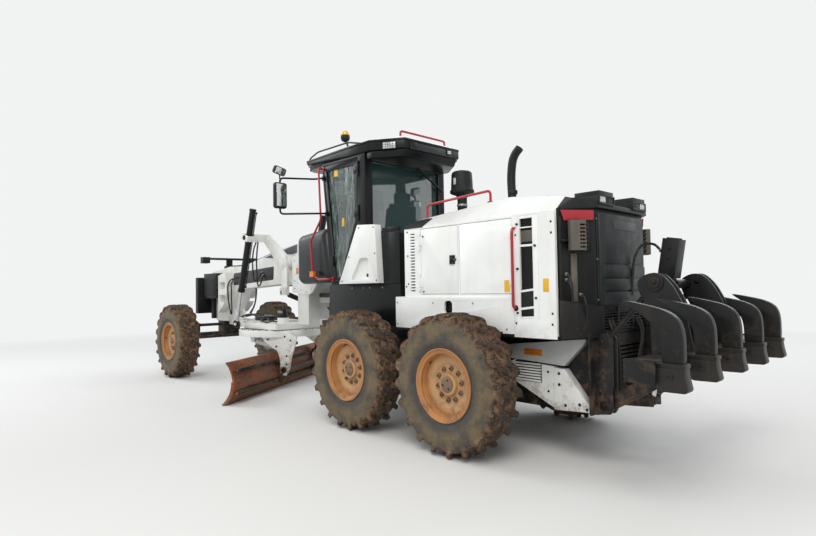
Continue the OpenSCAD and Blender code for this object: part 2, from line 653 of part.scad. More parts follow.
// Gear inside the ring
tooth_count = 60;
tooth_gap = 34;
tooth_h = 30;
shoe_angles = [0, 130, 230];
module shoe() {
  block([ring_in - 45, -45, circle_z - 28], [ring_in - 3, 45, drawbar_low + 1]);
  block([ring_in - 45, -45, circle_z - 28], [ring_in + 20, 45, circle_z - gap]);
  block([ring_in + 10, -45, ring_top + gap], [ring_in + 70, 45, drawbar_low + 1]);
}
module drawbar() place() color(white) {
  difference() {
    union() {
      translate([0, 0, drawbar_low]) linear_extrude(drawbar_t) difference() {
        polygon([[ball_x, 45], [ball_x - 110, 45], [4400, 600], [3452, 560], [3452, -560], [4400, -600],
          [ball_x - 110, -45], [ball_x, -45]]);
        polygon([[5560, 25], [4900, 290], [4900, -290], [5560, -25]]);
        translate([circle_x, 0]) circle(r = 380);
      }
      translate([ball_x, 0, ball_z]) sphere(r = ball_r);
    }
    cross_pin(ball_x, ball_z, -ball_r - 1, 2 * ball_r + 2, ball_pin_r + pin_gap);
  }
  translate([circle_x, 0, 0]) for (a = shoe_angles) rotate([0, 0, a]) shoe();
  both_sides() {
    block([lift_pin[0] - 60, 500, 985], [lift_pin[0] + 60, lift_y - 50, 1059]);
    cross_pin(lift_pin[0], lift_pin[1], 600, lift_y - 560, trunnion_r);
  }
  difference() {
    block([shift_x + 37, shift_low[0] - 45, drawbar_low + drawbar_t - 1], [shift_x + 67, shift_low[0] + 45,
      shift_low[1] + 45]);
    translate([shift_x, shift_low[0], shift_low[1]]) rotate([0, 90, 0]) cylinder(h = 80, r = shift_pin_r);
  }
  translate([circle_x - 420, 300, drawbar_low + drawbar_t - 1]) cylinder(h = 90, r = 95);
}

// Turning circle with the arms that carry the blade; X and Y are then the circle's own
arm_y = 665;
arm_t = 35;
tilt_y = 612;
pitch_pin = [-330, 330];
pitch_pin_r = 30;
tilt_top = [255, 790];
tilt_low = [-305, 640];
tilt_pin_r = 12;
tilt_length = norm(tilt_low - tilt_top);
tilt_fall = atan2(tilt_top[1] - tilt_low[1], tilt_top[0] - tilt_low[0]);
module in_circle_frame() translate([circle_x, 0, 0]) rotate([0, 0, blade_angle]) children();
module turning_circle() place() color(white) in_circle_frame() {
  translate([0, 0, circle_z]) difference() {
    cylinder(h = ring_t, r = circle_r, $fn = 72);
    translate([0, 0, -1]) cylinder(h = ring_t + 2, r = ring_in, $fn = 72);
    for (i = [0 : tooth_count - 1]) rotate([0, 0, i * 360 / tooth_count])
      block([ring_in - 5, -tooth_gap / 2, -1], [ring_in + tooth_h, tooth_gap / 2, 75]);
  }
  both_sides() {
    side_plate([[-560, circle_z], [-430, circle_z + 60], [-300, circle_z + 60], [60, circle_z + 1], [20, 780],
      [-215, 630], [-255, 530], [-275, 300], [-300, 245], [-370, 245], [-430, 350], [-450, 500]], arm_y, arm_t);
    cross_pin(pitch_pin[0], pitch_pin[1], 575, arm_y - 575 + 5, pitch_pin_r);
  }
  for (s = [-1, 1]) side_plate([[tilt_top[0] - 45, circle_z + 1], [tilt_top[0] - 25, tilt_top[1] - 30],
    [tilt_top[0] + 25, tilt_top[1] - 30], [tilt_top[0] + 45, circle_z + 1]], tilt_y + s * 36 - 10, 20);
  cross_pin(tilt_top[0], tilt_top[1], tilt_y - 40, 80, tilt_pin_r);
}

// Moldboard: an arc between the cutting edge and the top, with two slide rails behind
blade_x = -110;
arc_out = 425;
arc_in = 400;
arc_middle = [330, 320];
rail_z = [170, 480];
rail_back = -230;
module rail(z, more) {
  block([rail_back - more, -blade_len / 2 + 60, z - 25 - more], [rail_back + 20 + more, blade_len / 2 - 60,
    z + 25 + more]);
  block([rail_back, -blade_len / 2 + 60, z - 10 - more], [blade_x - 60, blade_len / 2 - 60, z + 10 + more]);
}
// A bolted edge in front of the blade's curve, up to its height
module cutting_edge(length, high) rotate([90, 0, 0]) linear_extrude(length, center = true) intersection() {
  translate([arc_middle[0] + blade_x, arc_middle[1]]) difference() {
    circle(r = arc_in + 1, $fn = 180);
    circle(r = arc_in - 18, $fn = 180);
  }
  translate([blade_x - 120, blade_ground]) square([260, high - blade_ground]);
}
module moldboard() place() color(rust) in_circle_frame() translate([0, blade_shift, 0]) {
  rotate([90, 0, 0]) linear_extrude(blade_len, center = true) intersection() {
    translate([arc_middle[0] + blade_x, arc_middle[1]]) difference() {
      circle(r = arc_out, $fn = 180);
      circle(r = arc_in, $fn = 180);
    }
    translate([blade_x - 120, blade_ground]) square([260, blade_h - blade_ground]);
  }
  cutting_edge(blade_len, 165);
  for (s = [-1, 1]) translate([0, s * (blade_len / 2 - 90), 0]) cutting_edge(180, 330);
  for (z = rail_z) rail(z, 0);
}

claw_y = [565, 655];
module blade_carrier() place() color(black) in_circle_frame() {
  both_sides() difference() {
    side_plate([[-375, 300], [-345, 275], [-265, 125], [-197, 125], [-197, 212], [-245, 225], [-245, 425],
      [-197, 438], [-197, 525], [-262, 540], [-280, 665], [-330, 665], [-375, 400]],
      claw_y[0], claw_y[1] - claw_y[0]);
    for (z = rail_z) rail(z, 1);
    cross_pin(pitch_pin[0], pitch_pin[1], claw_y[0] - 1, 100, pitch_pin_r + pin_gap);
    block([-345, tilt_y - 24, 585], [-240, tilt_y + 24, 700]);
  }
  cross_pin(tilt_low[0], tilt_low[1], tilt_y - 40, 80, tilt_pin_r);
  cross_pin(pitch_pin[0], pitch_pin[1], -claw_y[0], 2 * claw_y[0], 42);
}

// Cylinders: a barrel with its rod's bore, and a rod with an eye that is larger than its pin by the pin's drift
module barrel_shape(from, to, r, bore) difference() {
  union() {
    translate([0, 0, -to]) cylinder(h = to - from, r = r);
    translate([0, 0, -from - 1]) cylinder(h = from, r = 20);
  }
  translate([0, 0, -to - 1]) cylinder(h = to - from - 20, r = bore + pin_gap);
}
module eye(at, r, t) translate([0, 0, -at]) rotate([90, 0, 0]) cylinder(h = t, r = r, center = true);

module tilt_frame() in_circle_frame() translate([tilt_top[0], tilt_y, tilt_top[1]])
  rotate([0, 90 - tilt_fall, 0]) children();
module tilt_barrel() place() color(steel) tilt_frame() difference() {
  union() {
    barrel_shape(60, 400, 42, 22);
    eye(0, 34, 46);
  }
  eye(0, tilt_pin_r + pin_gap, 60);
}
module tilt_rod() place() color(steel) tilt_frame() difference() {
  union() {
    translate([0, 0, -tilt_length + 30]) cylinder(h = 330, r = 22);
    eye(tilt_length, 38, 40);
  }
  eye(tilt_length, tilt_pin_r + 13, 60);
}

module lift_barrel(side) lift_frame(side) difference() {
  union() {
    translate([0, 0, -930]) cylinder(h = 1410, r = lift_barrel_r);
    rotate([90, 0, 0]) cylinder(h = 160, r = trunnion_r, center = true);
  }
  translate([0, 0, -931]) cylinder(h = 1371, r = lift_rod_r + pin_gap);
}
module lift_rod(side) lift_frame(side) difference() {
  union() {
    translate([0, 0, -lift_length + 55]) cylinder(h = 860, r = lift_rod_r);
    eye(lift_length, 66, 60);
  }
  eye(lift_length, trunnion_r + 26, 80);
}

shift_length = norm(shift_low - shift_top);
shift_fall = atan2(shift_top[1] - shift_low[1], shift_top[0] - shift_low[0]);
module shift_frame() translate([shift_x, shift_top[0], shift_top[1]]) rotate([shift_fall - 90, 0, 0])
  rotate([0, 0, 90]) children();
module shift_barrel() place() color(black) shift_frame() difference() {
  union() {
    barrel_shape(112, 480, 40, 22);
    eye(0, shift_eye_r, shift_eye_t);
  }
  eye(0, shift_pin_r + pin_gap, 60);
}
module shift_rod() place() color(steel) shift_frame() difference() {
  union() {
    translate([0, 0, -shift_length + 30]) cylinder(h = 480, r = 22);
    eye(shift_length, shift_eye_r, shift_eye_t);
  }
  eye(shift_length, shift_pin_r, 60);
}

// Ripper: lower arms and upper links between the rear frame's posts and the tool carriage
plates_y = [[400, 25], [485, 25]];
link_y = 428;
link_t = 54;
lower_eye = [-2500, 860];
upper_eye = [-2472, 1620];
ripper_top = [-2375, 1600];
ripper_pin_r = 30;
upper_pin_r = 25;
upper_drift = 8;
module ripper_arms() place() color(black) {
  both_sides() difference() {
    union() {
      side_plate([[-1975, 520], [-2050, 510], [-2540, 805], [-2550, 900], [-2480, 915], [-1975, 600]], link_y,
        link_t);
      for (p = [post_low, lower_eye]) cross_pin(p[0], p[1], link_y, link_t, 58);
    }
    for (p = [post_low, lower_eye]) cross_pin(p[0], p[1], link_y - 1, link_t + 2, ripper_pin_r + pin_gap);
  }
  cross_pin(-2330, 752, -link_y - 1, 2 * link_y + 2, 38);
}
module ripper_links() place() color(black) both_sides() difference() {
  union() {
    for (p = [post_top, upper_eye]) cross_pin(p[0], p[1], link_y, link_t, 52);
    bar([post_top[0], link_y + link_t / 2, post_top[1]], [upper_eye[0], link_y + link_t / 2, upper_eye[1]], 26);
  }
  cross_pin(post_top[0], post_top[1], link_y - 1, link_t + 2, ripper_pin_r + pin_gap);
  cross_pin(upper_eye[0], upper_eye[1], link_y - 1, link_t + 2, upper_pin_r + upper_drift);
}
module shank() {
  side_plate([[-2950, 1000], [-2950, 1270], [-2900, 1360], [-2840, 1410], [-2720, 1440], [-2540, 1490],
    [-2640, 1400], [-2720, 1340], [-2790, 1290], [-2810, 1200], [-2800, 1000]], -shank_t / 2, shank_t);
  block([-2970, -50, 880], [-2759, 50, 1066]);
}
module ripper_carriage() place() color(black) {
  block([-2760, -ripper_half, 937], [-2570, ripper_half, 1076]);
  for (i = [-2 : 2]) translate([0, i * shank_pitch, 0]) shank();
  both_sides() {
    for (p = plates_y) side_plate([[-2440, 800], [-2420, 1400], [-2325, 1560], [-2325, 1640], [-2410, 1680],
      [-2500, 1690], [-2600, 1600], [-2680, 1430], [-2760, 1060], [-2600, 900], [-2560, 800]], p[0], p[1]);
    cross_pin(lower_eye[0], lower_eye[1], plates_y[0][0], 110, ripper_pin_r);
    cross_pin(upper_eye[0], upper_eye[1], plates_y[0][0], 110, upper_pin_r);
    difference() {
      cross_pin(ripper_top[0], ripper_top[1], 75, plates_y[0][0] - 74, 42);
      cross_pin(ripper_top[0], ripper_top[1], 74, 50, upper_pin_r + pin_gap);
    }
  }
}
ripper_length = norm(ripper_base - ripper_top);
ripper_lean = atan2(ripper_base[0] - ripper_top[0], ripper_top[1] - ripper_base[1]);
module ripper_frame() translate([ripper_top[0], 0, ripper_top[1]]) rotate([0, -ripper_lean, 0]) children();
module ripper_barrel() place() color(black) ripper_frame() difference() {
  union() {
    translate([0, 0, -310]) cylinder(h = 720, r = 62);
    translate([-72, -72, 60]) cube([144, 144, 340]);
    rotate([90, 0, 0]) cylinder(h = 236, r = upper_pin_r, center = true);
  }
  translate([0, 0, -311]) cylinder(h = 680, r = 30 + pin_gap);
}
module ripper_rod() place() color(steel) ripper_frame() difference() {
  union() {
    translate([0, 0, -ripper_length + 40]) cylinder(h = 940, r = 30);
    eye(ripper_length, 50, 100);
  }
  eye(ripper_length, upper_pin_r + 7, 120);
}

rear_frame();
tandem_axle();
engine();
hood();
rear_grille();
exhaust_stacks();
cab_base();
side_steps();
cab_frame();
cab_glass();
cab_roof();
cab_nose();
seat();
control_console();
handrails();
mirrors();
place() color(black) cab_door();  // door_left
place() color(glass) door_pane();  // door_left_glass
place() color(black) mirror([0, 1, 0]) cab_door();  // door_right
place() color(glass) mirror([0, 1, 0]) door_pane();  // door_right_glass
hood_door(front_leaf, -1);  // hood_door_left_front
hood_door(rear_leaf, 1);  // hood_door_left_rear
mirror([0, 1, 0]) hood_door(front_leaf, -1);  // hood_door_right_front
mirror([0, 1, 0]) hood_door(rear_leaf, 1);  // hood_door_right_rear
tyre_at(tandem_half, rear_wheel_y, 1);  // tyre_left_mid
rim_at(tandem_half, rear_wheel_y, 1);  // rim_left_mid
tyre_at(-tandem_half, rear_wheel_y, 1);  // tyre_left_rear
rim_at(-tandem_half, rear_wheel_y, 1);  // rim_left_rear
tyre_at(tandem_half, rear_wheel_y, -1);  // tyre_right_mid
rim_at(tandem_half, rear_wheel_y, -1);  // rim_right_mid
tyre_at(-tandem_half, rear_wheel_y, -1);  // tyre_right_rear
rim_at(-tandem_half, rear_wheel_y, -1);  // rim_right_rear
tyre_at(front_axle_x, front_wheel_y, 1);  // tyre_left_front
rim_at(front_axle_x, front_wheel_y, 1);  // rim_left_front
tyre_at(front_axle_x, front_wheel_y, -1);  // tyre_right_front
rim_at(front_axle_x, front_wheel_y, -1);  // rim_right_front
front_frame();
lift_saddle();
front_axle();
place() color(black) knuckle_shape();  // knuckle_left
place() color(black) mirror([0, 1, 0]) knuckle_shape();  // knuckle_right
tie_rod();
drawbar();
turning_circle();
blade_carrier();
moldboard();
tilt_barrel();
tilt_rod();
place() color(black) lift_barrel(1);  // lift_barrel_left
place() color(steel) lift_rod(1);  // lift_rod_left
place() color(black) lift_barrel(-1);  // lift_barrel_right
place() color(steel) lift_rod(-1);  // lift_rod_right
shift_barrel();
shift_rod();
ripper_arms();
ripper_links();
ripper_carriage();
ripper_barrel();
ripper_rod();
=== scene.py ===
import math
import random

import bpy
from mathutils import Matrix, Vector


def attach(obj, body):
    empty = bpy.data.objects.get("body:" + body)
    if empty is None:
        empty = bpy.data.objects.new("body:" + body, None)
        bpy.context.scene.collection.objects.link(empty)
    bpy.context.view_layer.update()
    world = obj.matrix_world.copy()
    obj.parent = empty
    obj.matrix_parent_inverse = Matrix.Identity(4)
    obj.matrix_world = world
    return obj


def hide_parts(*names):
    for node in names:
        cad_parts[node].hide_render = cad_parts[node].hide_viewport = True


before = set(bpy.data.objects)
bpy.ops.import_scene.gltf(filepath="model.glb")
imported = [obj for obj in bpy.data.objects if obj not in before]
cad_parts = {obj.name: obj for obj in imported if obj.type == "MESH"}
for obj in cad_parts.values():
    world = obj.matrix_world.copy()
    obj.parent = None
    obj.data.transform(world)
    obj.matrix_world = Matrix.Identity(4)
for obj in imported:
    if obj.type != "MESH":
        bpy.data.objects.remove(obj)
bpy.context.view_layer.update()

# A used motor grader. Places are in metres from the ground under the middle of the tandem:
# X forward, Y to the driver's left, Z up. keep() then moves a finished piece to the frame's origin.
MIDDLE = 1.990
TYRE_R = 0.680
WHEELS = {
    "left_mid": (0.763, 1.055), "left_rear": (-0.763, 1.055), "left_front": (6.270, 1.030),
    "right_mid": (0.763, -1.055), "right_rear": (-0.763, -1.055), "right_front": (6.270, -1.030),
}
CIRCLE_X = 4.080
BLADE_TURN = math.radians(31)
CAB_Y = 0.7205
STACK = (-0.735, 0, 0)
CLEANER = (0.135, -0.150, 0)
BEACON = (1.505, 0.612, 0)
# Eyes of the cylinders: X and Z where there are two numbers
LIFT_TOP = (4.05, 2.47)
LIFT_LOW = (4.51, 1.035)
LIFT_Y = 0.70
SHIFT_TOP, SHIFT_LOW = (3.44, 0.430, 1.565), (3.44, -0.373, 1.250)
TILT_TOP, TILT_LOW = (0.255, 0.612, 0.790), (-0.305, 0.612, 0.640)
RIPPER_LOW = (-2.200, 0, 0.560)
UPPER_EYE, LOWER_EYE = (-2.472, 1.620), (-2.500, 0.860)
SHANK_PITCH = 0.595
# The blade's face: its radius, the middle of its curve along X and Z, and the heights of the rails behind it
FACE_R = 0.425
FACE_X, FACE_Z = 0.22, 0.32
RAILS = (0.17, 0.48)
ROOF_X = 1.45
# The slanted corner plate at the rear: its first edge, and its run along X and Y for each metre
CORNER_X, CORNER_Y = -1.75, 0.78
RUN_X, RUN_Y = -0.542, -0.84
# Where screws, pins and pipes face
LEFT = (0, 1, 0)
UP = (0, 0, 1)
random.seed(7)


# Materials
def linear(code):
    """A colour written as in a paint chart, turned to the linear values that the shader reads."""
    parts = [int(code[i:i + 2], 16) / 255 for i in (0, 2, 4)]
    return [v / 12.92 if v <= 0.04045 else ((v + 0.055) / 1.055) ** 2.4 for v in parts] + [1.0]


def node(tree, kind, links=None, **settings):
    """Adds a node with its settings and links."""
    made = tree.nodes.new(kind)
    for key, value in settings.items():
        setattr(made, key, value)
    for key, value in (links or {}).items():
        if isinstance(value, bpy.types.NodeSocket):
            tree.links.new(value, made.inputs[key])
        else:
            made.inputs[key].default_value = value
    return made


def blank(name):
    """A new material with its tree, its shader and the object's coordinates."""
    material = bpy.data.materials.new(name)
    material.use_nodes = True
    tree = material.node_tree
    place = node(tree, "ShaderNodeTexCoord").outputs["Object"]
    return material, tree, tree.nodes["Principled BSDF"], place


def noise(tree, place, size, detail=4.0, rough=0.6, stretch=(1, 1, 1)):
    """Clouds whose patches are about size metres wide."""
    scaled = node(tree, "ShaderNodeMapping", {"Vector": place, "Scale": stretch}).outputs[0]
    made = node(tree, "ShaderNodeTexNoise", {"Vector": scaled, "Scale": 1 / size, "Detail": detail,
                                             "Roughness": rough})
    return made.outputs["Fac"]


def step(tree, value, low, high, bottom=0.0, top=1.0):
    """Spreads the part of a value between low and high over bottom to top."""
    return node(tree, "ShaderNodeMapRange", {0: value, 1: low, 2: high, 3: bottom, 4: top}).outputs[0]


def sums(tree, operation, a, b):
    """One sum of two values, kept between nought and one."""
    return node(tree, "ShaderNodeMath", {0: a, 1: b}, operation=operation, use_clamp=True).outputs[0]


def blend(tree, share, a, b):
    """Colour a with a share of colour b over it."""
    return node(tree, "ShaderNodeMix", {0: share, 6: a, 7: b}, data_type="RGBA").outputs[2]


def enamel(name, coat, faded, soil, gloss=0.35, chips=0.0, splash=0.0, film=0.3, bare="6E4B39",
           mirrors=0.5):
    """Sprayed enamel: faded in clouds, chipped to rust, with run-down grime and dried splashes."""
    material, tree, shader, place = blank(name)
    height = node(tree, "ShaderNodeSeparateXYZ", {0: place}).outputs[2]
    facing = node(tree, "ShaderNodeSeparateXYZ", {0: node(tree, "ShaderNodeNewGeometry").outputs["Normal"]})
    clouds = noise(tree, place, 0.55, 6.0)
    grit = noise(tree, place, 0.035, 8.0, 0.75)
    streaks = noise(tree, place, 0.11, 5.0, 0.65, (1, 1, 0.12))
    runs = step(tree, streaks, 0.50, 0.72, 0.0, film)
    dust = sums(tree, "MULTIPLY", step(tree, facing.outputs[2], 0.35, 1.0, 0.0, film),
                step(tree, clouds, 0.3, 0.6))
    low = step(tree, height, splash, splash * 0.25, 0.0, 0.95) if splash else 0.0
    patches = noise(tree, place, 0.13, 9.0, 0.72)
    spots = sums(tree, "MULTIPLY", low,
                 step(tree, sums(tree, "ADD", patches, sums(tree, "MULTIPLY", low, 0.11)), 0.535, 0.66))
    dirt = sums(tree, "MAXIMUM", sums(tree, "ADD", runs, dust), spots)
    chipped = step(tree, sums(tree, "MULTIPLY", grit, step(tree, clouds, 0.35, 0.6, 0.75, 1.0)),
                   0.70 - chips, 0.71 - chips)
    coat_now = blend(tree, step(tree, clouds, 0.35, 0.7), linear(coat), linear(faded))
    rusty = blend(tree, chipped, coat_now,
                  blend(tree, step(tree, grit, 0.5, 0.8), linear(bare), linear("3B2A24")))
    soiled = blend(tree, step(tree, grit, 0.35, 0.65), linear(soil), linear(darker(soil, 0.72)))
    tree.links.new(blend(tree, dirt, rusty, soiled), shader.inputs["Base Color"])
    rough = step(tree, sums(tree, "MAXIMUM", dirt, chipped), 0.0, 1.0, gloss, 0.88)
    tree.links.new(rough, shader.inputs["Roughness"])
    lumps = sums(tree, "SUBTRACT", sums(tree, "MULTIPLY", dirt, grit), sums(tree, "MULTIPLY", chipped, 0.15))
    bump = node(tree, "ShaderNodeBump", {"Height": lumps, "Strength": 0.5, "Distance": 0.006})
    tree.links.new(bump.outputs[0], shader.inputs["Normal"])
    shader.inputs["Specular IOR Level"].default_value = mirrors
    return material


def darker(code, share):
    """A paint chart colour made darker."""
    return "".join("%02X" % int(int(code[i:i + 2], 16) * share) for i in (0, 2, 4))


def plain(name, code, rough, metal=0.0, grain=0.002, relief=0.0006, shade=0.8, **sockets):
    """A finish with a fine grain and slight clouds of shade, such as plastic, rubber or a polished rod."""
    material, tree, shader, place = blank(name)
    clouds = noise(tree, place, 0.09, 5.0)
    fine = noise(tree, place, grain, 2.0)
    tree.links.new(blend(tree, step(tree, clouds, 0.35, 0.7), linear(code), linear(darker(code, shade))),
                   shader.inputs["Base Color"])
    tree.links.new(step(tree, clouds, 0.3, 0.7, rough, min(1.0, rough + 0.18)), shader.inputs["Roughness"])
    bump = node(tree, "ShaderNodeBump", {"Height": fine, "Strength": 0.4, "Distance": relief})
    tree.links.new(bump.outputs[0], shader.inputs["Normal"])
    shader.inputs["Metallic"].default_value = metal
    for key, value in sockets.items():
        shader.inputs[key.replace("_", " ")].default_value = value
    return material


MUD = "8C7560"
white = enamel("white_enamel", "E9EBE9", "DFE0DC", MUD, 0.30, 0.01, 1.35, 0.07)
white_low = enamel("white_enamel_splashed", "E4E5E2", "D2D1CA", "866A50", 0.34, 0.04, 1.00, 0.12)
black = enamel("satin_black_enamel", "101112", "191A1B", "5E5040", 0.42, 0.03, 1.15, 0.12, mirrors=0.25)
black_worn = enamel("worn_black_enamel", "131415", "1E1F1F", "67533F", 0.42, 0.06, 1.45, 0.14, mirrors=0.25)
cab_black = enamel("gloss_black_enamel", "0C0E0F", "131516", "4E4639", 0.30, 0.0, 1.35, 0.05, mirrors=0.22)
tandem_green = enamel("greasy_black_enamel", "171B19", "232825", "5F4E3C", 0.5, 0.05, 1.6, 0.30)
red = enamel("red_enamel", "A81F2B", "98222C", MUD, 0.28, 0.02, 1.2, 0.05)
grey_paint = enamel("grey_enamel", "B9BBB8", "A9AAA6", MUD, 0.4, 0.03, 0.95, 0.12)
ochre = enamel("ochre_rim_enamel", "B47A42", "96653A", "7E6046", 0.5, 0.08, 0.9, 0.30, "6A3A20")
ochre_disc = enamel("dusty_rim_disc", "BD9467", "A87D53", "7F5F42", 0.6, 0.03, 0.9, 0.40, "6E4B39")
ochre_cap = enamel("greasy_hub_cap", "6E5846", "7F6650", "5B4838", 0.5, 0.05, 0.9, 0.40)
scoured = enamel("scoured_rusted_steel", "6A3A26", "2C1F1D", "866A52", 0.36, 0.24, 0.55, 0.24, "A35A30")
worn_tip = enamel("worn_cast_tip", "1C1B19", "2B2825", "6E5945", 0.42, 0.10, 1.0, 0.2, mirrors=0.3)
edge_steel = enamel("bright_cutting_edge", "8D8780", "6F675F", "8A7864", 0.3, 0.05, 0.12, 0.2, "5E463A")
guard_paint = enamel("dusty_guard_enamel", "4A463F", "5C564C", "8A7A66", 0.6, 0.05, 2.6, 0.5)
cover_grey = plain("moulded_grey_cover", "222628", 0.36, 0.0, 0.002, 0.0005, 0.82, Specular_IOR_Level=0.35)
band_grey = plain("anti_slip_grey", "5A5F66", 0.6, 0.0, 0.003, 0.0012, 0.85)
plate_black = plain("blank_side_plate", "17191B", 0.3, 0.0, 0.004, 0.0003, 0.9)
badge_black = plain("blank_dark_badge", "24272A", 0.3)
plastic = plain("moulded_black_plastic", "191B1C", 0.5, Specular_IOR_Level=0.3)
dark_plastic = plain("glossy_dark_plastic", "1B1F21", 0.24, Specular_IOR_Level=0.35)
rubber = plain("black_rubber_hose", "1A1A1A", 0.55)
chrome = plain("hard_chromed_steel", "C9CBCC", 0.14, 1.0, 0.001, 0.0001, 0.9)
zinc = plain("zinc_plated_steel", "A7A8A4", 0.35, 1.0, 0.001, 0.0002, 0.75)
iron = plain("oiled_dark_steel", "3A3430", 0.45, 0.8, 0.004, 0.0006, 0.6)
lamp_black = plain("lamp_housing", "121314", 0.4, Specular_IOR_Level=0.3)
cloth = plain("woven_seat_cloth", "1E2225", 0.9, 0.0, 0.012, 0.0004, 0.75, Sheen_Weight=0.2)
yellow = plain("yellow_film", "E3AE1C", 0.4, 0.0, 0.002, 0.0002, 0.92)
orange = plain("orange_reflector", "D8761E", 0.2, 0.0, 0.004, 0.0008, 0.85, Coat_Weight=0.6)
red_lens = plain("red_lens", "B01E22", 0.12, 0.0, 0.006, 0.001, 0.85, Coat_Weight=0.8)
clear_lens = plain("ribbed_clear_lens", "C9CFD0", 0.10, 0.0, 0.008, 0.002, 0.7, Coat_Weight=1.0)
beacon_lens = plain("amber_dome", "E8B51C", 0.12, 0.0, 0.006, 0.0008, 0.85, Coat_Weight=0.8)
glass_dark = plain("switched_off_screen", "15181B", 0.08, 0.0, 0.01, 0.0, 0.9, Coat_Weight=0.8)
mirror_glass = plain("mirror_glass", "D5DADB", 0.03, 1.0, 0.01, 0.0, 0.95)


def cab_glazing(name, tint, body, streaks=0.0):
    """Tinted safety glass; with streaks it carries a wrinkled film, milky and dark by turns."""
    material, tree, shader, place = blank(name)
    shader.inputs["Base Color"].default_value = linear(tint)
    shader.inputs["Roughness"].default_value = 0.03
    shader.inputs["Alpha"].default_value = body
    if streaks:
        broad = noise(tree, place, 0.11, 5.0, 0.62, (1.9, 1.0, 0.42))
        folds = noise(tree, place, 0.060, 3.0, 0.55, (2.2, 1.0, 0.30))
        milky = sums(tree, "MULTIPLY", step(tree, folds, 0.36, 0.66), step(tree, broad, 0.30, 0.62))
        tree.links.new(blend(tree, milky, linear(tint), linear("87978F")), shader.inputs["Base Color"])
        tree.links.new(step(tree, milky, 0.0, 1.0, body, body + streaks), shader.inputs["Alpha"])
        tree.links.new(step(tree, milky, 0.0, 1.0, 0.05, 0.35), shader.inputs["Roughness"])
        bump = node(tree, "ShaderNodeBump", {"Height": folds, "Strength": 1.0, "Distance": 0.012})
        tree.links.new(bump.outputs[0], shader.inputs["Normal"])
    return material


glass = cab_glazing("tinted_cab_glass", "1D4A49", 0.34)
film_glass = cab_glazing("glass_with_wrinkled_film", "2A3B39", 0.55, 0.38)


def muddy_rubber():
    """Tyre rubber: dark by the rim, soiled on the side wall, with caked mud and clods in the tread."""
    material, tree, shader, place = blank("tyre_rubber_with_dried_mud")
    reach = node(tree, "ShaderNodeAttribute", attribute_name="reach").outputs["Fac"]
    patches = noise(tree, place, 0.16, 7.0, 0.68)
    coarse = noise(tree, place, 0.045, 8.0, 0.72)
    fine = noise(tree, place, 0.012, 6.0, 0.75)
    soiled = sums(tree, "MULTIPLY", step(tree, reach, 0.58, 0.70), step(tree, patches, 0.34, 0.56))
    wall = blend(tree, soiled, blend(tree, step(tree, coarse, 0.4, 0.7), linear("34322F"), linear("4A453E")),
                 blend(tree, step(tree, fine, 0.35, 0.7), linear("7D6E54"), linear("5B4F3D")))
    tread = blend(tree, step(tree, coarse, 0.44, 0.56), linear("2C2520"), linear("765A41"))
    tread = blend(tree, step(tree, sums(tree, "MULTIPLY", patches, fine), 0.29, 0.36), tread,
                  linear("9C7E62"))
    rubbed = sums(tree, "MULTIPLY", step(tree, reach, 0.975, 0.997), step(tree, coarse, 0.42, 0.56))
    tread = blend(tree, rubbed, tread, linear("2E2823"))
    tree.links.new(blend(tree, step(tree, reach, 0.84, 0.90), wall, tread), shader.inputs["Base Color"])
    tree.links.new(step(tree, soiled, 0.0, 1.0, 0.62, 0.95), shader.inputs["Roughness"])
    phase = node(tree, "ShaderNodeMath", {0: reach, 1: 330.0}, operation="MULTIPLY").outputs[0]
    rings = node(tree, "ShaderNodeMath", {0: phase}, operation="SINE").outputs[0]
    ringed = sums(tree, "MULTIPLY", rings, step(tree, reach, 0.74, 0.70, 0.0, 0.10))
    lumps = sums(tree, "ADD", sums(tree, "MULTIPLY", fine, step(tree, reach, 0.6, 0.9, 0.25, 1.0)), ringed)
    bump = node(tree, "ShaderNodeBump", {"Height": lumps, "Strength": 1.0, "Distance": 0.016})
    tree.links.new(bump.outputs[0], shader.inputs["Normal"])
    return material


tyre_rubber = muddy_rubber()


# Making shapes
def deselect():
    """Nothing stays selected before an operator."""
    bpy.ops.object.select_all(action="DESELECT")


def only(piece):
    """Selects one object and makes it the active one."""
    deselect()
    piece.select_set(True)
    bpy.context.view_layer.objects.active = piece


def edited(piece, *steps):
    """Runs edit mode steps on the whole of one object."""
    only(piece)
    bpy.ops.object.mode_set(mode="EDIT")
    bpy.ops.mesh.select_all(action="SELECT")
    for run in steps:
        run()
    bpy.ops.object.mode_set(mode="OBJECT")
    return piece


def outward():
    """Faces point outwards."""
    bpy.ops.mesh.remove_doubles(threshold=0.00005)
    bpy.ops.mesh.normals_make_consistent(inside=False)


def painted(piece, finish):
    """Gives a shape its finish."""
    piece.data.materials.clear()
    piece.data.materials.append(finish)
    return piece


def finished(piece, kind, **settings):
    """Adds one modifier and applies it."""
    only(piece)
    made = piece.modifiers.new(kind.title(), kind)
    for key, value in settings.items():
        setattr(made, key, value)
    bpy.ops.object.modifier_apply(modifier=made.name)
    return piece


def softened(piece, width, segments, least=40):
    """Rounds the edges whose faces turn by least degrees or more."""
    return finished(piece, "BEVEL", width=width, segments=segments, limit_method="ANGLE",
                    angle_limit=math.radians(least))


def block(low, high, finish=black):
    """A block between its lowest and its highest corner."""
    deselect()
    middle = [(a + b) / 2 for a, b in zip(low, high)]
    bpy.ops.mesh.primitive_cube_add(size=1, location=middle)
    bpy.ops.transform.resize(value=[b - a for a, b in zip(low, high)])
    bpy.ops.object.transform_apply()
    return painted(bpy.context.object, finish)


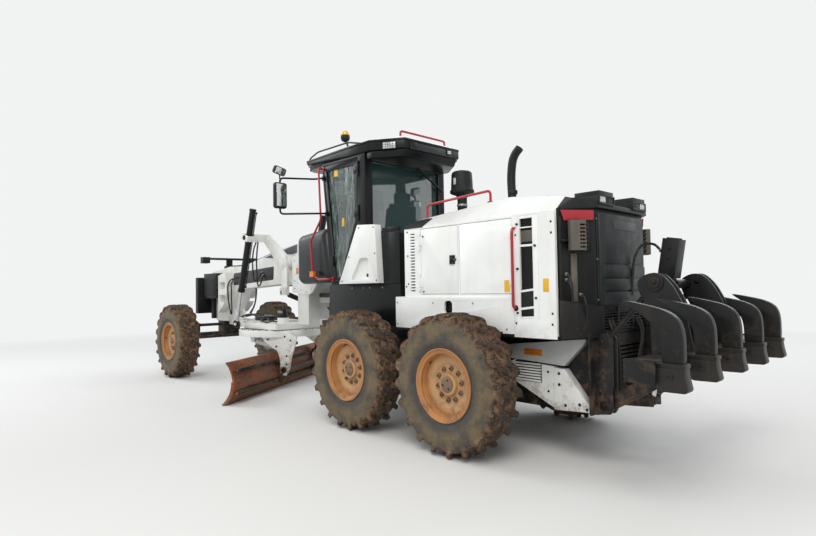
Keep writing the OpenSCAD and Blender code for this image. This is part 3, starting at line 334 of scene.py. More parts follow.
def rod(a, b, r, finish=black, sides=20, end_r=None):
    """A round bar, or a cone, from a to b."""
    a, b = Vector(a), Vector(b)
    deselect()
    bpy.ops.mesh.primitive_cone_add(vertices=sides, radius1=r, radius2=r if end_r is None else end_r,
                                    depth=(b - a).length, location=(a + b) / 2,
                                    rotation=(b - a).to_track_quat("Z", "Y").to_euler())
    bpy.ops.object.transform_apply()
    return painted(bpy.context.object, finish)


def plate(outline, start, stop, finish=black, plane="XZ"):
    """A flat shape cut to its outline in one plane, with its thickness from start to stop."""
    across = "XYZ".index(next(c for c in "XYZ" if c not in plane))
    deselect()
    bpy.ops.mesh.primitive_circle_add(vertices=len(outline), radius=1, fill_type="NGON")
    piece = bpy.context.object
    for corner, spot in zip(piece.data.vertices, outline):
        for axis, value in zip(plane, spot):
            corner.co["XYZ".index(axis)] = value
        corner.co[across] = start
    push = [0, 0, 0]
    push[across] = stop - start
    edited(piece, lambda: bpy.ops.mesh.extrude_region_move(TRANSFORM_OT_translate={"value": push}),
           lambda: bpy.ops.mesh.select_all(action="SELECT"), outward)
    return painted(piece, finish)


def spun(profile, centre, axis="Y", finish=black, steps=48, closed=True):
    """A turned shape: its profile gives the radius and the place along the axis."""
    deselect()
    bpy.ops.mesh.primitive_circle_add(vertices=len(profile), radius=1, fill_type="NOTHING")
    piece = bpy.context.object
    turn = {"X": (2, 0), "Y": (2, 1), "Z": (0, 2)}[axis]
    for corner, (r, along) in zip(piece.data.vertices, profile):
        corner.co = (0, 0, 0)
        corner.co[turn[0]] = r
        corner.co[turn[1]] = along
    if not closed:
        only(piece)
        last = [e for e in piece.data.edges if set(e.vertices) == {0, len(profile) - 1}][0]
        for e in piece.data.edges:
            e.select = e.index == last.index
        for v in piece.data.vertices:
            v.select = v.index in last.vertices
        bpy.ops.object.mode_set(mode="EDIT")
        bpy.ops.mesh.select_mode(type="EDGE")
        bpy.ops.mesh.delete(type="EDGE_FACE")
        bpy.ops.mesh.select_mode(type="VERT")
        bpy.ops.object.mode_set(mode="OBJECT")
    along = [1.0 if c == axis else 0.0 for c in "XYZ"]
    edited(piece, lambda: bpy.ops.mesh.spin(steps=steps, angle=2 * math.pi, center=(0, 0, 0), axis=along),
           lambda: bpy.ops.mesh.select_all(action="SELECT"), outward)
    return painted(moved(piece, centre), finish)


def moved(piece, by=(0, 0, 0), turn=0.0, axis="Z", about=(0, 0, 0)):
    """Turns a shape about a point, then moves it, all in its mesh."""
    about = Vector(about)
    piece.data.transform(Matrix.Translation(Vector(by)) @ Matrix.Translation(about) @
                         Matrix.Rotation(turn, 4, axis) @ Matrix.Translation(-about))
    return piece


def tube(route, r, finish=black, bend=0.0, smooth=False, sides=4):
    """A bent tube, or with smooth a hose, along its route."""
    points = [Vector(p) for p in route]
    if bend:
        rounded = [points[0]]
        for before, corner, after in zip(points, points[1:], points[2:]):
            a = corner + (before - corner).normalized() * min(bend, (before - corner).length / 2)
            b = corner + (after - corner).normalized() * min(bend, (after - corner).length / 2)
            rounded += [a.lerp(corner, t).lerp(corner.lerp(b, t), t) for t in (0, 0.2, 0.4, 0.6, 0.8, 1)]
        points = rounded + [points[-1]]
    line = bpy.data.curves.new("tube", "CURVE")
    line.dimensions = "3D"
    line.bevel_depth = r
    line.bevel_resolution = sides
    line.use_fill_caps = True
    spline = line.splines.new("BEZIER" if smooth else "POLY")
    if smooth:
        spline.bezier_points.add(len(points) - 1)
        for knot, p in zip(spline.bezier_points, points):
            knot.co = p
            knot.handle_left_type = knot.handle_right_type = "AUTO"
        line.resolution_u = 10
    else:
        spline.points.add(len(points) - 1)
        for knot, p in zip(spline.points, points):
            knot.co = (*p, 1)
    piece = bpy.data.objects.new("tube", line)
    bpy.context.collection.objects.link(piece)
    only(piece)
    bpy.ops.object.convert(target="MESH")
    return painted(bpy.context.object, finish)


def hose(route, r=0.012):
    """A rubber hose that curves through its points."""
    return tube(route, r, rubber, smooth=True)


def copied(piece, by=(0, 0, 0), turn=0.0, axis="Z", about=(0, 0, 0)):
    """A copy with its own mesh, turned and moved."""
    twin = piece.copy()
    twin.data = piece.data.copy()
    bpy.context.collection.objects.link(twin)
    return moved(twin, by, turn, axis, about)


def flipped(piece):
    """Moves a shape to the other side of the machine."""
    piece.data.transform(Matrix.Scale(-1, 4, LEFT))
    piece.data.flip_normals()
    return piece


def sided(pieces, side):
    """The shapes, which are moved to the right side where side is negative."""
    return [flipped(piece) for piece in pieces] if side < 0 else pieces


def mirrored(pieces):
    """The shapes and their copies on the other side of the machine."""
    return list(pieces) + [flipped(copied(piece)) for piece in pieces]


def joined(pieces):
    """Several shapes as one."""
    deselect()
    for piece in pieces:
        piece.select_set(True)
    bpy.context.view_layer.objects.active = pieces[0]
    if len(pieces) > 1:
        bpy.ops.object.join()
    return bpy.context.object


def cut(piece, tools):
    """Takes the tools' shapes out of a piece."""
    tool = joined(tools)
    finished(piece, "BOOLEAN", operation="DIFFERENCE", object=tool, solver="EXACT", use_self=True)
    bpy.data.objects.remove(tool)
    return piece


def keep(name, pieces, body, round_off=0.003, segments=2, replaced=()):
    """Joins shapes to one piece, rounds its edges, moves it to its place and lets it ride on its body."""
    piece = joined(pieces)
    piece.name = piece.data.name = name
    if round_off:
        finished(piece, "BEVEL", width=round_off, segments=segments, limit_method="ANGLE",
                 angle_limit=math.radians(32), use_clamp_overlap=True)
    only(piece)
    bpy.ops.object.shade_smooth_by_angle(angle=math.radians(32))
    piece.data.transform(Matrix.Translation((-MIDDLE, 0, 0)))
    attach(piece, body)
    if replaced:
        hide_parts(*replaced)
    return piece


def reworked(node_name, finish, soft=None, soft_r=0.03):
    """A copy of a CAD node in machine coordinates, its flat faces merged and its soft edges rounded more."""
    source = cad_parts[node_name]
    piece = source.copy()
    piece.data = source.data.copy()
    piece.parent = None
    piece.matrix_world = Matrix.Identity(4)
    bpy.context.collection.objects.link(piece)
    piece.data.transform(Matrix.Translation((MIDDLE, 0, 0)))
    edited(piece, lambda: bpy.ops.mesh.remove_doubles(threshold=0.00002),
           lambda: bpy.ops.mesh.dissolve_limited(angle_limit=math.radians(1.0)))
    if soft:
        only(piece)
        spots = piece.data.vertices
        for v in spots:
            v.select = False
        for face in piece.data.polygons:
            face.select = False
        for edge in piece.data.edges:
            a, b = (spots[i].co for i in edge.vertices)
            edge.select = bool(soft(a, b))
        bpy.ops.object.mode_set(mode="EDIT")
        bpy.ops.mesh.select_mode(type="EDGE")
        bpy.ops.mesh.bevel(offset=soft_r, segments=4, affect="EDGES", clamp_overlap=True)
        bpy.ops.mesh.select_mode(type="VERT")
        bpy.ops.object.mode_set(mode="OBJECT")
    return painted(piece, finish)


def second_finish(piece, finish, where):
    """Gives the faces whose middles pass the test a second finish."""
    piece.data.materials.append(finish)
    for face in piece.data.polygons:
        if where(face.center):
            face.material_index = len(piece.data.materials) - 1
    return piece


def keep_for(node_name, pieces, body, round_off=0.003, segments=2):
    """A piece that replaces a CAD node and is named after it."""
    return keep(node_name + "_finished", pieces, body, round_off, segments, (node_name,))


def stands_for(node_name, body, finish, round_off=0.004, extra=(), soft=None, soft_r=0.03):
    """A reworked CAD node with its details, which replaces the node."""
    pieces = [reworked(node_name, finish, soft, soft_r)] + list(extra)
    return keep_for(node_name, pieces, body, round_off)


def rod_stands_for(node_name, eye, reach):
    """A chromed rod with an eye of oiled steel, in place of its node."""
    piece = second_finish(reworked(node_name, chrome), iron, lambda spot: (spot - Vector(eye)).length < reach)
    return keep_for(node_name, [piece], node_name)


def sheet(corners, thick, finish=black):
    """A flat sheet through corners in space, thickened away from their turning direction."""
    deselect()
    bpy.ops.mesh.primitive_circle_add(vertices=len(corners), radius=1, fill_type="NGON")
    piece = bpy.context.object
    for corner, spot in zip(piece.data.vertices, corners):
        corner.co = spot
    finished(piece, "SOLIDIFY", thickness=thick, offset=-1)
    return painted(edited(piece, outward), finish)


def slotted(low, high, finish, bars, bar_share=0.5, along=2):
    """A row of bars between two corners, as in a louvre or a grille."""
    made = []
    pitch = (high[along] - low[along]) / bars
    for i in range(bars):
        a, b = list(low), list(high)
        a[along] = low[along] + i * pitch
        b[along] = a[along] + pitch * bar_share
        made.append(block(a, b, finish))
    return made


def screw_head():
    """A hexagon screw head with its washer, pointing up and one unit in radius."""
    washer = rod((0, 0, 0), (0, 0, 0.16), 1.25, zinc, 20)
    head = rod((0, 0, 0.14), (0, 0, 0.85), 0.95, zinc, 6)
    dome = rod((0, 0, 0.80), (0, 0, 0.98), 0.78, zinc, 12, 0.6)
    made = joined([washer, head, dome])
    softened(made, 0.04, 1)
    made.name = "screw_head"
    return made


head_pattern = screw_head()


def screws(spots, toward, r=0.011, finish=None):
    """Screw heads at their spots, all facing one way."""
    turn = Vector(toward).to_track_quat("Z", "Y").to_matrix().to_4x4()
    made = []
    for spot in spots:
        one = copied(head_pattern)
        one.data.transform(Matrix.Translation(Vector(spot)) @ turn @
                           Matrix.Rotation(random.uniform(0, 1), 4, "Z") @ Matrix.Scale(r, 4))
        if finish:
            painted(one, finish)
        made.append(one)
    return made


def side_screws(y, spots, r, finish):
    """Screws that face left from the upright face at y, at their places along X and Z."""
    return screws([(x, y, z) for x, z in spots], LEFT, r, finish)


# Tyres and rims
def tyre_pattern():
    """A turned carcass with two rows of oblique lugs, remeshed, lumped with dried mud and thinned."""
    side = [(0.313, 0.148), (0.349, 0.158), (0.366, 0.170), (0.372, 0.166), (0.400, 0.180), (0.450, 0.1855),
            (0.500, 0.186), (0.560, 0.182), (0.590, 0.174), (0.618, 0.158), (0.634, 0.120), (0.638, 0.0)]
    carcass = spun(side + [(r, -y) for r, y in reversed(side[:-1])], (0, 0, 0), "Y", tyre_rubber, 96)
    bar = [(0.002, 0.620), (0.002, 0.679), (0.080, 0.679), (0.150, 0.676), (0.182, 0.655), (0.188, 0.600),
           (0.184, 0.560), (0.165, 0.560), (0.165, 0.620)]
    lug = plate(bar, -0.031, 0.031, tyre_rubber, "YZ")
    softened(lug, 0.006, 2, 30)
    lugs = []
    for side_sign in (1, -1):
        one = copied(lug)
        for v in one.data.vertices:
            along, y, r = v.co
            along += 0.62 * y * side_sign + side_sign * 0.050
            y = y * side_sign
            v.co = (r * math.sin(along / r), y, r * math.cos(along / r))
        if side_sign < 0:
            one.data.flip_normals()
        lugs += [copied(one, turn=i * 2 * math.pi / 20, axis="Y") for i in range(20)]
        bpy.data.objects.remove(one)
    bpy.data.objects.remove(lug)
    tyre = joined([carcass] + lugs)
    finished(tyre, "REMESH", mode="VOXEL", voxel_size=0.0115, use_smooth_shade=True)
    clods = bpy.data.textures.new("clods", "CLOUDS")
    clods.noise_scale = 0.045
    clods.noise_depth = 3
    finished(tyre, "DISPLACE", texture=clods, texture_coords="LOCAL", strength=0.011, mid_level=0.56)
    finished(tyre, "DECIMATE", ratio=0.36)
    reach = tyre.data.attributes.new("reach", "FLOAT", "POINT")
    for v in tyre.data.vertices:
        r = math.hypot(v.co.x, v.co.z)
        if r > TYRE_R:
            v.co.x *= TYRE_R / r
            v.co.z *= TYRE_R / r
        reach.data[v.index].value = r / TYRE_R
    return painted(tyre, tyre_rubber)


def rim_pattern():
    """A well, a disc with ten nuts, a hub cap and a valve."""
    well = [(0.351, 0.170), (0.351, 0.160), (0.318, 0.148), (0.311, 0.110), (0.292, 0.060),
            (0.292, -0.060), (0.311, -0.110), (0.318, -0.148), (0.345, -0.160), (0.345, -0.170),
            (0.328, -0.170), (0.298, -0.152), (0.296, -0.112), (0.279, -0.066), (0.279, 0.066),
            (0.294, 0.100), (0.297, 0.118), (0.306, 0.124), (0.306, 0.134), (0.298, 0.142),
            (0.300, 0.152), (0.330, 0.160), (0.338, 0.172), (0.346, 0.174)]
    disc = [(0.062, -0.020), (0.120, -0.020), (0.128, 0.035), (0.190, 0.040), (0.230, 0.062), (0.283, 0.062),
            (0.283, 0.078), (0.222, 0.080), (0.200, 0.068), (0.186, 0.057), (0.118, 0.057), (0.108, 0.064),
            (0.105, 0.096), (0.096, 0.104), (0.088, 0.104), (0.084, 0.098), (0.062, 0.098)]
    cap = [(0.0, 0.112), (0.060, 0.112), (0.070, 0.108), (0.072, 0.096), (0.072, 0.060), (0.0, 0.060)]
    parts = [spun(well, (0, 0, 0), "Y", ochre, 72), spun(disc, (0, 0, 0), "Y", ochre_disc, 72),
             spun(cap, (0, 0, 0), "Y", ochre_cap, 48, False)]
    for i in range(10):
        a = 2 * math.pi * i / 10
        parts += screws([(0.153 * math.cos(a), 0.057, 0.153 * math.sin(a))], LEFT, 0.022, ochre_cap)
        parts.append(rod((0.153 * math.cos(a), 0.070, 0.153 * math.sin(a)),
                         (0.153 * math.cos(a), 0.084, 0.153 * math.sin(a)), 0.009, iron, 10))
    for i in range(3):
        a = 2 * math.pi * (i + 0.3) / 3
        parts += screws([(0.046 * math.cos(a), 0.111, 0.046 * math.sin(a))], LEFT, 0.008, iron)
    parts.append(rod((0.0, 0.10, 0.286), (0.0, 0.135, 0.268), 0.006, iron, 8))
    rim = joined(parts)
    softened(rim, 0.0015, 2)
    return rim


tyre = tyre_pattern()
rim = rim_pattern()
for number, (name, (x, y)) in enumerate(WHEELS.items()):
    half_turn = 0.0 if y > 0 else math.pi
    for pattern, word, finish_slot in ((tyre, "tyre", "tyre"), (rim, "rim", "ochre")):
        one = copied(pattern, turn=0.6 * number + 0.2, axis="Y")
        moved(one, (x, y, TYRE_R), half_turn, "Z")
        keep("%s_%s_worn" % (word, name), [one], "wheel_" + name, 0.0,
             replaced=("%s_%s" % (word, name),))
bpy.data.objects.remove(tyre)
bpy.data.objects.remove(rim)

# The other nodes, each with rounded edges and its finish
stands_for("cab_nose", "chassis", dark_plastic, 0.004)
stands_for("front_axle", "front_body", black_worn, 0.006)
for name, round_off in (("knuckle_left", 0.004), ("knuckle_right", 0.004), ("tie_rod", 0.003),
                        ("blade_carrier", 0.004), ("ripper_arms", 0.005), ("ripper_links", 0.004)):
    stands_for(name, name, black_worn, round_off)
for door in ("left_front", "left_rear", "right_front", "right_rear"):
    stands_for("hood_door_" + door, "hood_door_" + door, white, 0.004)


# Bonnet with its vent panels, stickers without words, rear lamps' fairings and the black front corners
def vent_panel():
    """The upright panel at the bonnet's rear edge, with five openings over dark louvres."""
    panel = block((-1.748, 0.779, 1.135), (-1.302, 0.808, 2.262), white)
    holes = [[(-1.380, 2.143), (-1.518, 2.143), (-1.518, 2.221), (-1.380, 2.221)],
             [(-1.380, 1.982), (-1.518, 1.982), (-1.518, 2.133), (-1.380, 2.133)],
             [(-1.380, 1.564), (-1.518, 1.581), (-1.518, 1.963), (-1.380, 1.963)],
             [(-1.380, 1.405), (-1.518, 1.422), (-1.518, 1.561), (-1.380, 1.544)],
             [(-1.380, 1.323), (-1.518, 1.330), (-1.518, 1.401), (-1.380, 1.384)]]
    cut(panel, [plate(hole, 0.70, 0.90, white) for hole in holes])
    groove = block((-1.579, 0.804, 1.305), (-1.364, 0.82, 2.248))
    cut(panel, [cut(groove, [block((-1.575, 0.79, 1.309), (-1.368, 0.82, 2.244))])])
    made = [panel, block((-1.53, 0.781, 1.31), (-1.37, 0.7835, 2.235), black)]
    made += slotted((-1.524, 0.784, 1.550), (-1.375, 0.789, 2.225), lamp_black, 56, 0.45)
    made.append(block((-1.530, 0.781, 1.310), (-1.370, 0.8025, 1.572), lamp_black))
    made.append(block((-1.512, 0.786, 2.008), (-1.386, 0.792, 2.110), guard_paint))
    for x, z in ((-1.546, 1.965), (-1.546, 1.495), (-1.356, 2.173), (-1.354, 1.762), (-1.346, 1.358)):
        made.append(rod((x, 0.806, z), (x, 0.824, z), 0.011, plastic, 16, 0.009))
    made += side_screws(0.808, ((-1.713, 2.165), (-1.713, 2.068), (-1.709, 1.358), (-1.707, 1.263),
                                (-1.325, 1.263), (-1.335, 2.075)), 0.008, plastic)
    made.append(block((-1.678, 0.8075, 1.547), (-1.619, 0.8090, 1.666), yellow))
    return made


bonnet = vent_panel()
bonnet.append(sheet([(0.205, 0.786, 2.262), (0.205, 0.690, 2.345), (-0.070, 0.665, 2.366),
                     (-0.140, 0.672, 2.360), (-0.095, 0.786, 2.262)], 0.006, plastic))
bonnet += slotted((-0.525, 0.742, 1.330), (-0.415, 0.765, 1.460), plastic, 4, 0.4)
bonnet.append(block((-0.53, 0.70, 1.32), (-0.41, 0.742, 1.47), lamp_black))
bonnet.append(block((-1.160, 0.800, 1.150), (-1.110, 0.812, 1.176), plastic))
bonnet += side_screws(0.800, ((0.31, 1.44), (0.31, 1.20), (-0.25, 1.44), (-0.80, 1.44), (-1.21, 1.20)),
                      0.008, zinc)
bonnet += side_screws(0.780, ((0.153, 2.225), (0.148, 1.959), (0.173, 1.618), (0.142, 1.646)), 0.008, plastic)
bonnet = mirrored(bonnet)
bonnet.append(rod((-1.30, 0.22, 2.462), (-1.30, 0.22, 2.498), 0.055, plastic, 24, 0.05))


def shoulder(a, b):
    """Whether an edge is one of the long ones where the bonnet's top turns down."""
    near, far = sorted((abs(a.y), abs(b.y)))
    is_long = (a - b).length > 0.2 and min(a.z, b.z) > 2.30
    return is_long and 0.42 < near and far < 0.68 and abs(a.y - b.y) < 0.2


stands_for("hood", "chassis", white, 0.003, bonnet, shoulder, 0.045)

# Latches and stickers on the bonnet's doors
for side, word in ((1, "left"), (-1, "right")):
    latch = block((-0.560, 0.779, 1.841), (-0.492, 0.794, 1.933), plastic)
    cut(latch, [block((-0.552, 0.786, 1.852), (-0.500, 0.80, 1.922))])
    latch_parts = [latch, block((-0.548, 0.784, 1.880), (-0.504, 0.796, 1.916), lamp_black),
                   rod((-0.566, 0.779, 1.887), (-0.566, 0.800, 1.887), 0.012, plastic, 16),
                   rod((-0.566, 0.799, 1.887), (-0.566, 0.802, 1.887), 0.007, zinc, 12)]
    sticker = [block((-1.241, 0.7795, 1.549), (-1.178, 0.7812, 1.661), yellow)]
    knobs = [rod((x, 0.779, z), (x, 0.790, z), 0.008, plastic, 12) for x, z in ((-0.10, 1.56), (-0.10, 2.16))]
    latch_parts = sided(latch_parts + knobs, side)
    keep("bonnet_latch_" + word, latch_parts, "hood_door_%s_front" % word, 0.0015)
    keep("bonnet_sticker_" + word, sided(sticker, side), "hood_door_%s_rear" % word, 0.0)


# Rear: cover with its ribs, louvres, corner plates, lamp guards, lamps on the lip, fittings and a hose loop
def corner_block(along, out, z, finish):
    """A block on the slanted corner plate: along it from the bonnet, out from it, and its heights."""
    piece = block((along[0], -out[1], z[0]), (along[1], -out[0], z[1]), finish)
    return moved(piece, (CORNER_X, CORNER_Y, 0), math.atan2(RUN_Y, RUN_X), "Z")


def rear_corner():
    """The slanted corner plate's lamp guard with its lamps, the fender, ports and hoses."""
    guard = corner_block((0.085, 0.225), (0.045, 0.105), (1.905, 2.165), guard_paint)
    cut(guard, [corner_block((0.094, 0.216), (0.03, 0.098), (1.912, 2.158), black)] +
        [corner_block((0.168, 0.220), (0.06, 0.13), (1.925 + i * 0.032, 1.941 + i * 0.032), black)
         for i in range(7)])
    made = [guard, corner_block((0.105, 0.205), (0.03, 0.07), (1.93, 2.14), lamp_black),
            corner_block((0.108, 0.202), (0.07, 0.082), (2.045, 2.135), red_lens),
            corner_block((0.108, 0.202), (0.07, 0.082), (1.985, 2.043), orange),
            corner_block((0.108, 0.202), (0.07, 0.082), (1.935, 1.983), clear_lens),
            corner_block((0.02, 0.10), (0.0, 0.05), (1.985, 2.005), black),
            corner_block((0.01, 0.03), (0.0, 0.03), (1.45, 2.20), black_worn),
            corner_block((0.120, 0.175), (0.0, 0.022), (1.46, 1.88), guard_paint),
            corner_block((0.0, 0.36), (0.0, 0.045), (1.135, 1.17), black_worn)]
    fender = corner_block((0.004, 0.385), (0.004, 0.060), (1.145, 1.475), black_worn)
    for v in fender.data.vertices:
        if v.co.z > 1.3 and v.co.x < -1.9:
            v.co.z = 1.415
    made += [fender, corner_block((0.385, 0.400), (-0.02, 0.062), (1.145, 1.40), black_worn)]
    for u, z in ((0.07, 1.70), (0.07, 1.65), (0.20, 1.52)):
        spot = Vector((CORNER_X + RUN_X * u, CORNER_Y + RUN_Y * u, z))
        out = Vector((RUN_Y, -RUN_X, 0))
        made += [rod(spot, spot + out * 0.03, 0.016, zinc, 6), rod(spot, spot + out * 0.05, 0.010, zinc, 14)]
        made.append(tube([spot + out * 0.045, spot + out * 0.09 + Vector((0, 0, -0.03)),
                          spot + out * 0.06 + Vector((-0.02, -0.03, -0.2)),
                          spot + out * 0.02 + Vector((-0.02, -0.05, -0.42))],
                         0.009, rubber, smooth=True, sides=3))
    return made


rear = mirrored(rear_corner())
cover = plate([(-1.951, 0.452), (-1.975, 0.440), (-1.992, 0.405), (-1.992, -0.375), (-1.975, -0.41),
               (-1.951, -0.42)], 1.420, 2.240, cover_grey, "XY")
bands = [plate([(-1.990, 0.410), (-2.006, 0.375), (-2.006, -0.345), (-1.990, -0.38)], a, b, cover_grey, "XY")
         for a, b in ((1.425, 1.536), (1.552, 1.655), (1.672, 1.778), (1.796, 2.235))]
rear += [cover] + bands
rear.append(block((-2.010, -0.20, 2.105), (-2.004, 0.25, 2.185), badge_black))
rear += slotted((-1.975, -0.43, 1.195), (-1.948, 0.43, 1.400), black_worn, 8, 0.35)
rear += [block((-1.982, y - 0.008, 1.188), (-1.945, y + 0.008, 1.405), black_worn)
         for y in (-0.43, -0.15, 0.14, 0.43)]
for s_y in (1, -1):
    flap = [(-1.805, 0.745 * s_y, 2.168), (-1.952, 0.500 * s_y, 2.178),
            (-1.958, 0.500 * s_y, 2.262), (-1.790, 0.770 * s_y, 2.262)]
    rear.append(sheet(flap[::s_y], 0.008, red))
    pod = plate([(-1.990, 0.190), (-1.990, 0.470), (-1.62, 0.560), (-1.52, 0.52), (-1.60, 0.215)],
                2.320, 2.396, plastic, "XY")
    pod_rim = block((-1.998, 0.186, 2.318), (-1.984, 0.474, 2.402), lamp_black)
    pod_rim = cut(pod_rim, [block((-2.02, 0.202, 2.338), (-1.98, 0.458, 2.390))])
    lens = block((-1.994, 0.352, 2.338), (-1.988, 0.456, 2.390), clear_lens)
    second = block((-1.993, 0.204, 2.338), (-1.988, 0.340, 2.390), lamp_black)
    rear += sided([pod, pod_rim, lens, second], s_y)
rear += [hose([(-2.000, -0.100, 1.50), (-2.015, -0.100, 1.70), (-2.045, -0.11, 1.88), (-2.10, -0.14, 1.970),
               (-2.19, -0.13, 1.975), (-2.30, -0.05, 1.910)])]
rear += screws([(-1.953, y, z) for y in (0.457, -0.457) for z in (1.47, 1.83, 2.19)], (-1, 0, 0), 0.009, zinc)
stands_for("rear_grille", "chassis", black_worn, 0.004, rear)

# Exhaust stack with an open elbow, and the air pre-cleaner
stack = tube([(-0.735, 0, 2.40), (-0.735, 0, 2.95), (-0.770, 0, 3.045), (-0.842, 0, 3.118)], 0.047,
             black, smooth=True, sides=6)
for v in stack.data.vertices:
    v.co.z = max(v.co.z, 2.38)
mouth = rod((-0.80, 0, 3.078), (-0.870, 0, 3.146), 0.041, lamp_black, 24)
cut(stack, [mouth])
stacks = [stack, spun([(0.049, 2.40), (0.062, 2.40), (0.062, 2.425), (0.049, 2.43)], STACK, "Z", zinc, 40),
          rod((-0.735, 0, 2.385), (-0.735, 0, 2.40), 0.085, black, 32),
          spun([(0.048, 2.62), (0.0525, 2.62), (0.0525, 2.66), (0.048, 2.66)], STACK, "Z", iron, 40)]
cleaner = spun([(0.0, 2.30), (0.060, 2.30), (0.060, 2.70), (0.075, 2.735), (0.128, 2.755), (0.146, 2.765),
                (0.146, 2.80), (0.137, 2.812), (0.133, 2.90), (0.128, 2.995), (0.122, 3.018),
                (0.105, 3.032), (0.055, 3.044), (0.0, 3.045)], CLEANER, "Z", plastic, 56, False)
stacks += [cleaner,
           spun([(0.060, 2.60), (0.066, 2.60), (0.066, 2.625), (0.060, 2.625)], CLEANER, "Z", zinc, 40)]
for i in range(28):
    a = 2 * math.pi * i / 28
    fin = block((0.120, -0.003, 2.768), (0.150, 0.003, 2.798), lamp_black)
    stacks.append(moved(fin, CLEANER, a, "Z"))
stacks.append(block((0.135 - 0.02, -0.150 + 0.132, 2.86), (0.135 + 0.02, -0.150 + 0.137, 2.94), clear_lens))
keep("stacks_finished", stacks, "chassis", 0.0015, replaced=("exhaust_stacks",))

# Cab roof: black tray with lamps, a white lid, the rear air outlet and the beacon on its stalk
TRAY = [(0.48, 0.49), (0.86, 0.735), (2.22, 0.75), (2.40, 0.60), (2.47, 0.0), (2.40, -0.60),
        (2.22, -0.75), (0.86, -0.735), (0.48, -0.49)]


def shrunk(outline, share_x, share_y):
    """The outline drawn in towards the roof's middle."""
    return [(ROOF_X + (x - ROOF_X) * share_x, y * share_y) for x, y in outline]


def roof_level(x, rear, front):
    """A height that runs from its rear value, up to the door's pillar, to its front value."""
    share = min(1.0, max(0.0, (x - 1.30) / 1.10))
    return rear + (front - rear) * share


SIDES = TRAY[:2] + [(1.30, 0.742), (1.52, 0.744)] + TRAY[2:7] + [(1.52, -0.744), (1.30, -0.742)] + TRAY[7:]
tray = plate(SIDES, 3.300, 3.425, cab_black, "XY")
lip = plate(shrunk(SIDES, 1.004, 1.006), 3.402, 3.428, cab_black, "XY")
for v in tray.data.vertices:
    v.co.z = roof_level(v.co.x, v.co.z, 3.400 if v.co.z > 3.4 else 3.362)
for v in lip.data.vertices:
    v.co.z = roof_level(v.co.x, v.co.z, 3.404 if v.co.z > 3.41 else 3.380)
softened(tray, 0.016, 4, 60)
bowl = plate(shrunk(TRAY, 0.955, 0.94), 3.296, 3.372, cab_black, "XY")
lid = plate(shrunk(SIDES, 0.975, 0.965), 3.395, 3.478, white, "XY")
for v in lid.data.vertices:
    if v.co.z > 3.45:
        v.co.x = ROOF_X + (v.co.x - ROOF_X) * 0.93
        v.co.y *= 0.92
        v.co.z = roof_level(v.co.x, v.co.z, 3.440)
softened(lid, 0.012, 4, 20)
top = [tray, lip, bowl, lid]
under = plate([(0.486, 0.470), (0.850, 0.706), (0.955, 0.706), (0.955, -0.706), (0.850, -0.706),
               (0.486, -0.470)], 3.205, 3.305, cab_black, "XY")
for v in under.data.vertices:
    if v.co.z < 3.25 and v.co.x < 0.6:
        v.co.x += 0.06
softened(under, 0.022, 4)
top.append(under)
top += [block((0.462, -0.335, 3.300), (0.484, 0.405, 3.384), cover_grey),
        block((0.455, 0.300, 3.328), (0.465, 0.385, 3.386), lamp_black),
        block((0.455, -0.320, 3.322), (0.465, -0.235, 3.388), lamp_black),
        block((0.452, -0.306, 3.334), (0.456, -0.249, 3.376), clear_lens),
        block((0.478, -0.20, 3.334), (0.4635, 0.26, 3.340), black)]
for y_sign in (1, -1):
    frame_lamp = block((-0.088, -0.022, -0.046), (0.088, 0.002, 0.046), lamp_black)
    face = block((-0.078, 0.0, -0.037), (0.078, 0.005, 0.037), clear_lens)
    grid = [block((x - 0.0015, 0.004, -0.037), (x + 0.0015, 0.008, 0.037), lamp_black)
            for x in (-0.0468, -0.0156, 0.0156, 0.0468)]
    grid += [block((-0.078, 0.004, z - 0.0015), (0.078, 0.008, z + 0.0015), lamp_black)
             for z in (-0.012, 0.012)]
    lamp_turn = math.atan2(0.245, 0.38)
    side_lamp = [moved(piece, (0.640, 0.600, 3.345), lamp_turn) for piece in [frame_lamp, face] + grid]
    top += sided(side_lamp, y_sign)
    front = block((2.285, -0.075, 3.318), (2.400, 0.075, 3.412), lamp_black)
    lens = spun([(0.0, 0.118), (0.030, 0.116), (0.036, 0.110), (0.036, 0.10), (0.0, 0.10)],
                (2.29, 0, 3.365), "X", clear_lens, 28, False)
    for piece in (front, lens):
        moved(piece, (0.012, 0.50 * y_sign, 0))
        top.append(piece)
    bar_route = [(2.385, 0.612 * y_sign, 3.43), (2.30, 0.64 * y_sign, 3.478), (2.00, 0.712 * y_sign, 3.502),
                 (1.30, 0.722 * y_sign, 3.492), (1.05, 0.722 * y_sign, 3.43)]
    top.append(tube(bar_route, 0.011, black, 0.06))
    top += screws([(x, 0.742 * y_sign, 3.36) for x in (1.05, 1.5, 1.95)], (0, y_sign, 0), 0.006, plastic)
top += [tube([(1.400, 0.640, 3.44), (1.425, 0.638, 3.505), (1.500, 0.615, 3.570)], 0.014, black, 0.03),
        spun([(0.0, 3.558), (0.026, 3.560), (0.052, 3.580), (0.063, 3.612), (0.058, 3.645),
              (0.0, 3.648)], BEACON, "Z", plastic, 32, False),
        spun([(0.0, 3.643), (0.056, 3.644), (0.058, 3.660), (0.050, 3.690), (0.028, 3.706),
              (0.0, 3.709985)], BEACON, "Z", beacon_lens, 32, False)]
keep_for("cab_roof", top, "chassis", 0.002)


